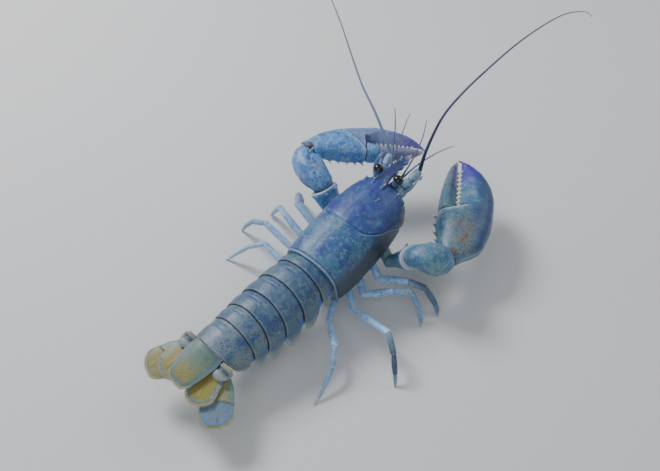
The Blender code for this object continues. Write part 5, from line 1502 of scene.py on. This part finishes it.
# %% Movable fingers
COLLAR = {"right": 0.68, "left": 0.585}
COLLAR_SLANT = 0.0012
FINGER_WARMTH = {"right": 0.45, "left": 0.75}
for side, claw in claws.items():
    hinge = claw.hinge
    first = hinge + 0.002 + GAP / claw.length
    rows = []
    shares = np.concatenate([[first, first + 0.0012, first + 0.004, first + 0.009],
                             np.linspace(first + 0.016, 0.955, 84), [0.963, 0.969, 0.973, 0.975]])
    for share in shares:
        base = 1 - float(ramp(share, first, first + 0.012))
        high = float(claw.bite_at(share)) - BITE_HALF_GAP - 0.5 * base ** 2
        low = float(claw.inner_at(share)) + 1.5 * (1 - float(ramp(share, first, first + 0.05)))
        low = low + 0.6 * base ** 2
        if share > 0.9:
            low = min(low, high - 1.2)
        thick = float(claw.thick_at(share)) * 0.80 * (1 - 0.10 * base ** 2)
        rows.append(claw.ring(share, low, high, thick, bite_way=float(ramp(share, first, first + 0.12))))
    rows = np.array(rows)
    shares = shares[:, None]
    relief = 0.25 * lumps(rows, 9.0, 25) + 0.12 * lumps(rows, 3.0, 26)
    collar = COLLAR[side] + COLLAR_SLANT * claw.across(rows)
    relief = relief - 0.4 * hump(shares, collar, 0.007) + 0.3 * hump(shares, collar - 0.018, 0.012)
    relief = relief * ramp(shares, first, first + 0.02) * (1 - ramp(shares, 0.95, 0.975))
    rows = push(rows, relief)

    beyond_collar = ramp(shares, collar, collar + 0.02)
    bite_edge = ramp(claw.across(rows) - claw.bite_at(shares) + BITE_HALF_GAP, -2.5, -0.5)
    root_shade = 0.4 * (1 - beyond_collar) * (side == "right")
    skins = [skin(rows, tip=0.45 * ramp(shares, 0.90, 0.975), line=0.75 * hump(shares, collar + 0.003, 0.006),
                  shade=root_shade, warm=FINGER_WARMTH[side] * beyond_collar,
                  violet=0.6 * ramp(shares, 0.60, 0.95), rim=0.5 * bite_edge * beyond_collar)]
    count, tooth_radius, blunt = TEETH[side]
    pitch = (0.93 - hinge - TOOTH_START) / count
    for number in range(count - 1):
        share = hinge + TOOTH_START + pitch * (number + 0.5)
        foot = claw.point(share, float(claw.bite_at(share)) - BITE_HALF_GAP - 0.3, 0.0)
        size = tooth_radius * (1.2 - 0.5 * number / count)
        skins.append(thorn(foot, claw.outward, TOOTH_LENGTH, size, sunk=1.6, blunt=blunt, pale=0.7))
    claw_pieces[side, "dactylus"] = skins
    print("movable finger", side, "teeth", len(skins) - 1)

# %% [markdown]
# Materials. The shell is calcified chitin: hard and satin, under a thin waxy outer layer that gives a soft
# second gloss. Its colour lies in wide clouds of two blues with mottles of a few millimetres and fine dark
# specks over them. Colours are sRGB hex values that one function turns to linear, and every scale is worked
# out from millimetres, as the texture space is metres.

# %% Colour and node helpers
def linear(code):
    """An sRGB hex colour as a linear RGBA tuple."""
    channels = [int(code[i:i + 2], 16) / 255 for i in (1, 3, 5)]
    return tuple(c / 12.92 if c <= 0.04045 else ((c + 0.055) / 1.055) ** 2.4 for c in channels) + (1.0,)


def per_mm(size):
    """The texture scale that makes one feature about this many millimetres."""
    return 1000.0 / size


# The pits are about 0.3 mm wide on the real shell; they are drawn wider, so that they show at arm's length.
PIT_MM = 1.1
GRAIN_MM = 0.5
COLOUR_NOISE_ROUGHNESS = 0.65


def add_node(tree, kind, settings=None, links=None):
    """A node with its settings and links. A key is an input's name or number, or else a property."""
    node = tree.nodes.new(kind)
    for key, value in (settings or {}).items():
        if isinstance(key, int) or key in node.inputs:
            node.inputs[key].default_value = value
        else:
            setattr(node, key, value)
    for key, source in (links or {}).items():
        tree.links.new(source, node.inputs[key])
    return node


def new_material(name):
    """A new material with its node tree and its main shader."""
    material = bpy.data.materials.new(name)
    material.use_nodes = True
    tree = material.node_tree
    return material, tree, tree.nodes["Principled BSDF"]


# %% [markdown]
# The colour is laid on in layers, each mixed over the ones before by its own share. Some shares are noise
# that a map range cuts to clouds, mottles or dots, and the others are the marks that the skins carry. Dusk
# is a second, darker mottle in the speck's colour, and the value mottled makes both mottles weaker.

# %% Calcified shell
LAYERS = ("pale", "violet", "warm", "shade", "dusk", "speck", "rim", "line", "knob", "tip")


def calcified_shell(name, palette, cloud_mm=17.0, mottle_mm=4.5, speck_mm=1.9, speckled=0.75,
                    roughness=0.47, mottled=1.0):
    """Clouds of two blues, pale and dark mottles and dark specks, under the colours of the marks."""
    material, tree, shader = new_material(name)
    place = {"Vector": add_node(tree, "ShaderNodeTexCoord").outputs["Object"]}
    share = {}
    for mark in MARKS:
        share[mark] = add_node(tree, "ShaderNodeAttribute", {"attribute_name": mark}).outputs["Fac"]
    noises = {}
    for part, size, detail in (("clouds", cloud_mm, 3.0), ("mottles", mottle_mm, 5.0),
                               ("patches", 11.0, 2.0), ("smudges", 0.7 * mottle_mm, 4.0)):
        settings = {"Scale": per_mm(size), "Detail": detail, "Roughness": COLOUR_NOISE_ROUGHNESS}
        noises[part] = add_node(tree, "ShaderNodeTexNoise", settings, place).outputs["Fac"]
    cells = add_node(tree, "ShaderNodeTexVoronoi", {"Scale": per_mm(speck_mm)}, place).outputs
    cell_draw = add_node(tree, "ShaderNodeSeparateColor", {}, {0: cells["Color"]}).outputs[0]
    for part, source, low, high, most in (("body", noises["clouds"], 0.40, 0.62, 1.0),
                                          ("pale", noises["mottles"], 0.47, 0.64, 0.62 * mottled),
                                          ("dusk", noises["smudges"], 0.45, 0.30, 0.42 * mottled),
                                          ("dots", cells["Distance"], 0.46, 0.24, 1.0),
                                          ("chosen", cell_draw, 0.30, 0.55, 1.0),
                                          ("where", noises["patches"], 0.36, 0.54, speckled)):
        settings = {"interpolation_type": "SMOOTHSTEP", 1: low, 2: high, 4: most}
        share[part] = add_node(tree, "ShaderNodeMapRange", settings, {0: source}).outputs[0]
    share["speck"] = share["dots"]
    for part in ("chosen", "where"):
        factors = {0: share["speck"], 1: share[part]}
        share["speck"] = add_node(tree, "ShaderNodeMath", {"operation": "MULTIPLY"}, factors).outputs[0]
    two_blues = {"data_type": "RGBA", 6: linear(palette["deep"]), 7: linear(palette["body"])}
    colour = add_node(tree, "ShaderNodeMix", two_blues, {0: share["body"]}).outputs[2]
    for layer in LAYERS:
        tint = linear(palette["speck" if layer == "dusk" else layer])
        mix = add_node(tree, "ShaderNodeMix", {"data_type": "RGBA", 7: tint}, {0: share[layer], 6: colour})
        colour = mix.outputs[2]
    tree.links.new(colour, shader.inputs["Base Color"])

    # The pale mottles are a little rougher than the rest.
    rough = add_node(tree, "ShaderNodeMapRange", {1: 0.3, 2: 0.7, 3: roughness - 0.09, 4: roughness + 0.12},
                     {0: noises["mottles"]}).outputs[0]
    tree.links.new(rough, shader.inputs["Roughness"])
    # Pits and a finer grain break up the gloss.
    pits = add_node(tree, "ShaderNodeTexVoronoi", {"Scale": per_mm(PIT_MM)}, place).outputs["Distance"]
    settings = {"Scale": per_mm(GRAIN_MM), "Detail": 3.0}
    grain = add_node(tree, "ShaderNodeTexNoise", settings, place).outputs["Fac"]
    pitted = add_node(tree, "ShaderNodeBump", {"Strength": 0.6, "Distance": 0.0002}, {"Height": pits})
    fine = add_node(tree, "ShaderNodeBump", {"Strength": 0.4, "Distance": 0.0001},
                    {"Height": grain, "Normal": pitted.outputs[0]})
    tree.links.new(fine.outputs[0], shader.inputs["Normal"])
    for name, value in (("IOR", 1.54), ("Coat Weight", 0.15), ("Coat Roughness", 0.3)):
        shader.inputs[name].default_value = value
    return material


# %% [markdown]
# The carapace is deep blue over dark grey lower flanks, partly its own colour and partly painted shade, with
# a pale rim at its hind edge. The abdomen is the same shell, but greyer and less mottled, and its side plates
# fade to a pale grey.

# %% Body finishes
CARAPACE_COLOURS = {"deep": "#2e5592", "body": "#3f759a", "pale": "#7898a8", "violet": "#293890",
                    "warm": "#8a7650", "shade": "#41433c", "speck": "#1b2654", "rim": "#8fabd8",
                    "line": "#1e2c4e", "knob": "#2b4590", "tip": "#e9e0d0"}
ABDOMEN_COLOURS = {"deep": "#365782", "body": "#4d6f86", "pale": "#7f978e", "violet": "#3a5494",
                   "warm": "#a7b2b0", "shade": "#5f6f62", "speck": "#202e4a", "rim": "#a09a94",
                   "line": "#1f2a40", "knob": "#2f58b8", "tip": "#d8d0bc"}
carapace_shell = calcified_shell("calcified_shell_carapace", CARAPACE_COLOURS)
abdomen_shell = calcified_shell("calcified_shell_abdomen", ABDOMEN_COLOURS, speck_mm=2.1, mottled=0.6)
print("body finishes:", carapace_shell.name, abdomen_shell.name)

# %% [markdown]
# The claws have the thickest and smoothest shell, with violet fingers and cream teeth. The left one is a
# brighter blue. The walking legs are thinner shell and pale blue, brightened further as painted light, and
# dark below the knee, partly their own colour and partly painted shade.

# %% Claw and leg finishes
CLAW_COLOURS = {"deep": "#3f77a4", "body": "#598b9e", "pale": "#8ca69e", "violet": "#3a1ea8",
                "warm": "#716a5c", "shade": "#46514e", "speck": "#1c3060", "rim": "#b9c7d6",
                "line": "#16386e", "knob": "#6b4526", "tip": "#efe2cc"}
LEFT_CLAW_COLOURS = {**CLAW_COLOURS, "deep": "#4682c8", "body": "#639ccc", "pale": "#9bbbd2",
                     "violet": "#5a4cac", "warm": "#8a84a4", "line": "#28406c"}
# These blues are brighter than the legs' own pale blue, as painted light.
LEG_COLOURS = {"deep": "#8cbcf2", "body": "#acd6fa", "pale": "#d8ecfb", "violet": "#5a6fb0",
               "warm": "#8f9a92", "shade": "#2e3a42", "speck": "#33507c", "rim": "#dbe6f0",
               "line": "#2a3c58", "knob": "#8e5a34", "tip": "#c2b8a0"}
claw_shells = {}
for side, name, colours in (("right", "calcified_shell_claw", CLAW_COLOURS),
                            ("left", "calcified_shell_cutter", LEFT_CLAW_COLOURS)):
    claw_shells[side] = calcified_shell(name, colours, cloud_mm=14.0, roughness=0.44)
leg_shell = calcified_shell("calcified_shell_leg", LEG_COLOURS, cloud_mm=12.0, speck_mm=1.5, speckled=0.5)
print("claw and leg finishes:", [shell.name for shell in claw_shells.values()], leg_shell.name)

# %% [markdown]
# The tail fan is softer chitin, rougher and duller, green-grey with an ochre middle and a tan fringe. The
# feelers are horny chitin, dark blue on the right and grey-blue on the left, which is painted light, and
# paler to their tips.

# %% Fan and feeler finishes
FAN_COLOURS = {"deep": "#5c7c6e", "body": "#748c72", "pale": "#9aa888", "violet": "#587cb2",
               "warm": "#8f8638", "shade": "#42645f", "speck": "#38484c", "rim": "#6c8cac",
               "line": "#2c3e66", "knob": "#9f9098", "tip": "#b2aa84"}
FEELER_COLOURS = {"deep": "#1d2748", "body": "#2b3a66", "pale": "#3d4d78", "violet": "#34428a",
                  "warm": "#5a6472", "shade": "#7f93b0", "speck": "#10162c", "rim": "#7684a0",
                  "line": "#141c34", "knob": "#8a5a34", "tip": "#6b7690"}
fan_shell = calcified_shell("soft_chitin_tail_fan", FAN_COLOURS, mottle_mm=5.5, speckled=0.5, roughness=0.52)
feeler_chitin = calcified_shell("horny_chitin_feeler", FEELER_COLOURS, speck_mm=1.5, speckled=0.3)
print("fan and feeler finishes:", fan_shell.name, feeler_chitin.name)

# %% [markdown]
# The eye's cap is clear horny lens over black pigment, so it is black, very smooth, and has a clear coat.
# Thousands of tiny facets give it a faint grain, which a fine cell pattern in the bump stands for.

# %% Eye
eye_lens, tree, shader = new_material("horny_lens_eye")
place = {"Vector": add_node(tree, "ShaderNodeTexCoord").outputs["Object"]}
facets = add_node(tree, "ShaderNodeTexVoronoi", {"Scale": per_mm(0.25)}, place).outputs["Distance"]
dust = add_node(tree, "ShaderNodeTexNoise", {"Scale": per_mm(3.0), "Detail": 2.0}, place).outputs["Fac"]
two_blacks = {"data_type": "RGBA", 6: linear("#08080c"), 7: linear("#1a1c26")}
tint = add_node(tree, "ShaderNodeMix", two_blacks, {0: dust}).outputs[2]
tree.links.new(tint, shader.inputs["Base Color"])
bump = add_node(tree, "ShaderNodeBump", {"Strength": 0.25, "Distance": 0.00003}, {"Height": facets})
tree.links.new(bump.outputs[0], shader.inputs["Normal"])
for name, value in (("Roughness", 0.16), ("IOR", 1.5), ("Coat Weight", 0.3), ("Coat Roughness", 0.08)):
    shader.inputs[name].default_value = value
print("eye finish:", eye_lens.name)

# %% [markdown]
# Now each group of skins becomes one object that rides on the body and takes the place of its solid.

# %% Place the pieces
add_piece("carapace_shell", carapace_skins, carapace_shell, ["carapace"])
add_piece("rostrum_shell", rostrum_skins, carapace_shell, ["rostrum"])
add_piece("breastplate", [skin(sternum_rows, shade=0.5)], leg_shell, ["sternum"])
for side, _ in SIDES:
    stalk, cap = eye_parts[side]
    add_piece(f"eye_stalk_{side}", [stalk], carapace_shell, [f"eye_{side}"])
    add_piece(f"eye_cap_{side}", [cap], eye_lens, [f"eye_{side}"])
    stalk_skins, whip = feeler_parts[side]
    add_piece(f"feeler_stalk_{side}", stalk_skins, claw_shells[side], [f"antenna_base_{side}"])
    add_piece(f"feeler_whip_{side}", whip, feeler_chitin, [f"antenna_{side}"])
    add_piece(f"small_feeler_{side}", small_feelers[side], feeler_chitin, [f"antennule_{side}"])
    add_piece(f"mouth_leg_{side}", mouth_legs[side], leg_shell, [f"maxilliped_{side}"])
    add_piece(f"endopod_{side}_vane", fan[f"endopod_{side}"], fan_shell, [f"endopod_{side}"])
    add_piece(f"exopod_{side}_vane", fan[f"exopod_{side}"], fan_shell, [f"exopod_{side}"])
    for part in ("ischium", "merus", "carpus", "propodus", "dactylus"):
        add_piece(f"claw_{side}_{part}", claw_pieces[side, part], claw_shells[side],
                  [f"cheliped_{side}_{part}"])
add_piece("telson_vane", fan["telson"], fan_shell, ["telson"])
for number, skins in ring_skins.items():
    add_piece(f"abdomen_ring_{number}", skins, abdomen_shell, [f"abdomen_{number}"])
for side, pair in LEG_JOINTS:
    for part, groups in (("upper", upper_skins), ("lower", lower_skins), ("toe", toe_skins)):
        name = f"leg_{side}_{pair}_{part}"
        add_piece(f"{name}_shell", groups[side, pair], leg_shell, [name])
print("pieces:", len(pieces), "faces:", sum(len(piece.data.polygons) for piece in pieces))

# %% [markdown]
# The stage is a plain pale floor of matt card, whose fibres give it a very faint cloud. The camera stands
# where the photo was taken from, worked out from the places of the claws, feet and tail in it, with a
# 50 mm lens.

# %% Floor
FLOOR_HALF = 6.0
FLOOR_LEVEL = -0.0002
floor_mesh = bpy.data.meshes.new("studio_floor")
corners = [(x * FLOOR_HALF, y * FLOOR_HALF, FLOOR_LEVEL) for x, y in ((-1, -1), (1, -1), (1, 1), (-1, 1))]
floor_mesh.from_pydata(corners, [], [(0, 1, 2, 3)])
studio_floor = bpy.data.objects.new("studio_floor", floor_mesh)
bpy.context.scene.collection.objects.link(studio_floor)
paper, tree, shader = new_material("matt_card_floor")
place = {"Vector": add_node(tree, "ShaderNodeTexCoord").outputs["Object"]}
fibre = add_node(tree, "ShaderNodeTexNoise", {"Scale": per_mm(4.0), "Detail": 3.0}, place).outputs["Fac"]
two_greys = {"data_type": "RGBA", 6: linear("#dcdddb"), 7: linear("#e1e2e0")}
tone = add_node(tree, "ShaderNodeMix", two_greys, {0: fibre}).outputs[2]
tree.links.new(tone, shader.inputs["Base Color"])
shader.inputs["Roughness"].default_value = 0.85
floor_mesh.materials.append(paper)
print("floor:", 2 * FLOOR_HALF, "m wide")

# %% Camera
CAMERA_AZIMUTH = math.radians(-48.5)
CAMERA_ELEVATION = math.radians(47.0)
CAMERA_DISTANCE = 840.0
CAMERA_TARGET = np.array([58.5, 22.5, 40.0])
away = np.array([math.sin(CAMERA_AZIMUTH) * math.cos(CAMERA_ELEVATION),
                 -math.cos(CAMERA_AZIMUTH) * math.cos(CAMERA_ELEVATION), math.sin(CAMERA_ELEVATION)])
camera_place = CAMERA_TARGET + away * CAMERA_DISTANCE
camera_data = bpy.data.cameras.new("camera")
camera_data.lens = 50.0
camera_data.sensor_width = 36.0
camera_data.clip_start = 0.05
camera_data.clip_end = 50.0
camera = bpy.data.objects.new("camera", camera_data)
camera.location = Vector((camera_place - BOX_MIDDLE) * MM)
look = Vector((CAMERA_TARGET - camera_place) * MM)
camera.rotation_euler = look.to_track_quat("-Z", "Y").to_euler()
bpy.context.scene.collection.objects.link(camera)
bpy.context.scene.camera = camera
print("camera at", [round(v, 3) for v in camera.location])

# %% [markdown]
# Three soft lamps and a pale sky light the animal. The key lamp stands high on its left, the fill lamp on
# the camera's side, and the third in front of it.

# %% Lights
LIGHTS = (("key", (-0.1, 0.9, 1.1), 0.5, 17.0, "#fbfaff"),
          ("fill", (-0.9, -0.7, 0.9), 1.2, 5.0, "#f4f7ff"),
          ("back", (0.9, -0.4, 0.8), 0.8, 3.0, "#ffffff"))
for name, place_m, size, watts, colour in LIGHTS:
    data = bpy.data.lights.new(name, "AREA")
    data.shape = "SQUARE"
    data.size = size
    data.energy = watts
    data.color = linear(colour)[:3]
    lamp = bpy.data.objects.new(name, data)
    lamp.location = Vector(place_m)
    lamp.rotation_euler = (-Vector(place_m)).to_track_quat("-Z", "Y").to_euler()
    bpy.context.scene.collection.objects.link(lamp)
    print("light", name, watts, "W")
world = bpy.data.worlds.new("studio")
bpy.context.scene.world = world
world.use_nodes = True
background = world.node_tree.nodes["Background"]
background.inputs["Color"].default_value = linear("#dfe4ec")
background.inputs["Strength"].default_value = 0.35
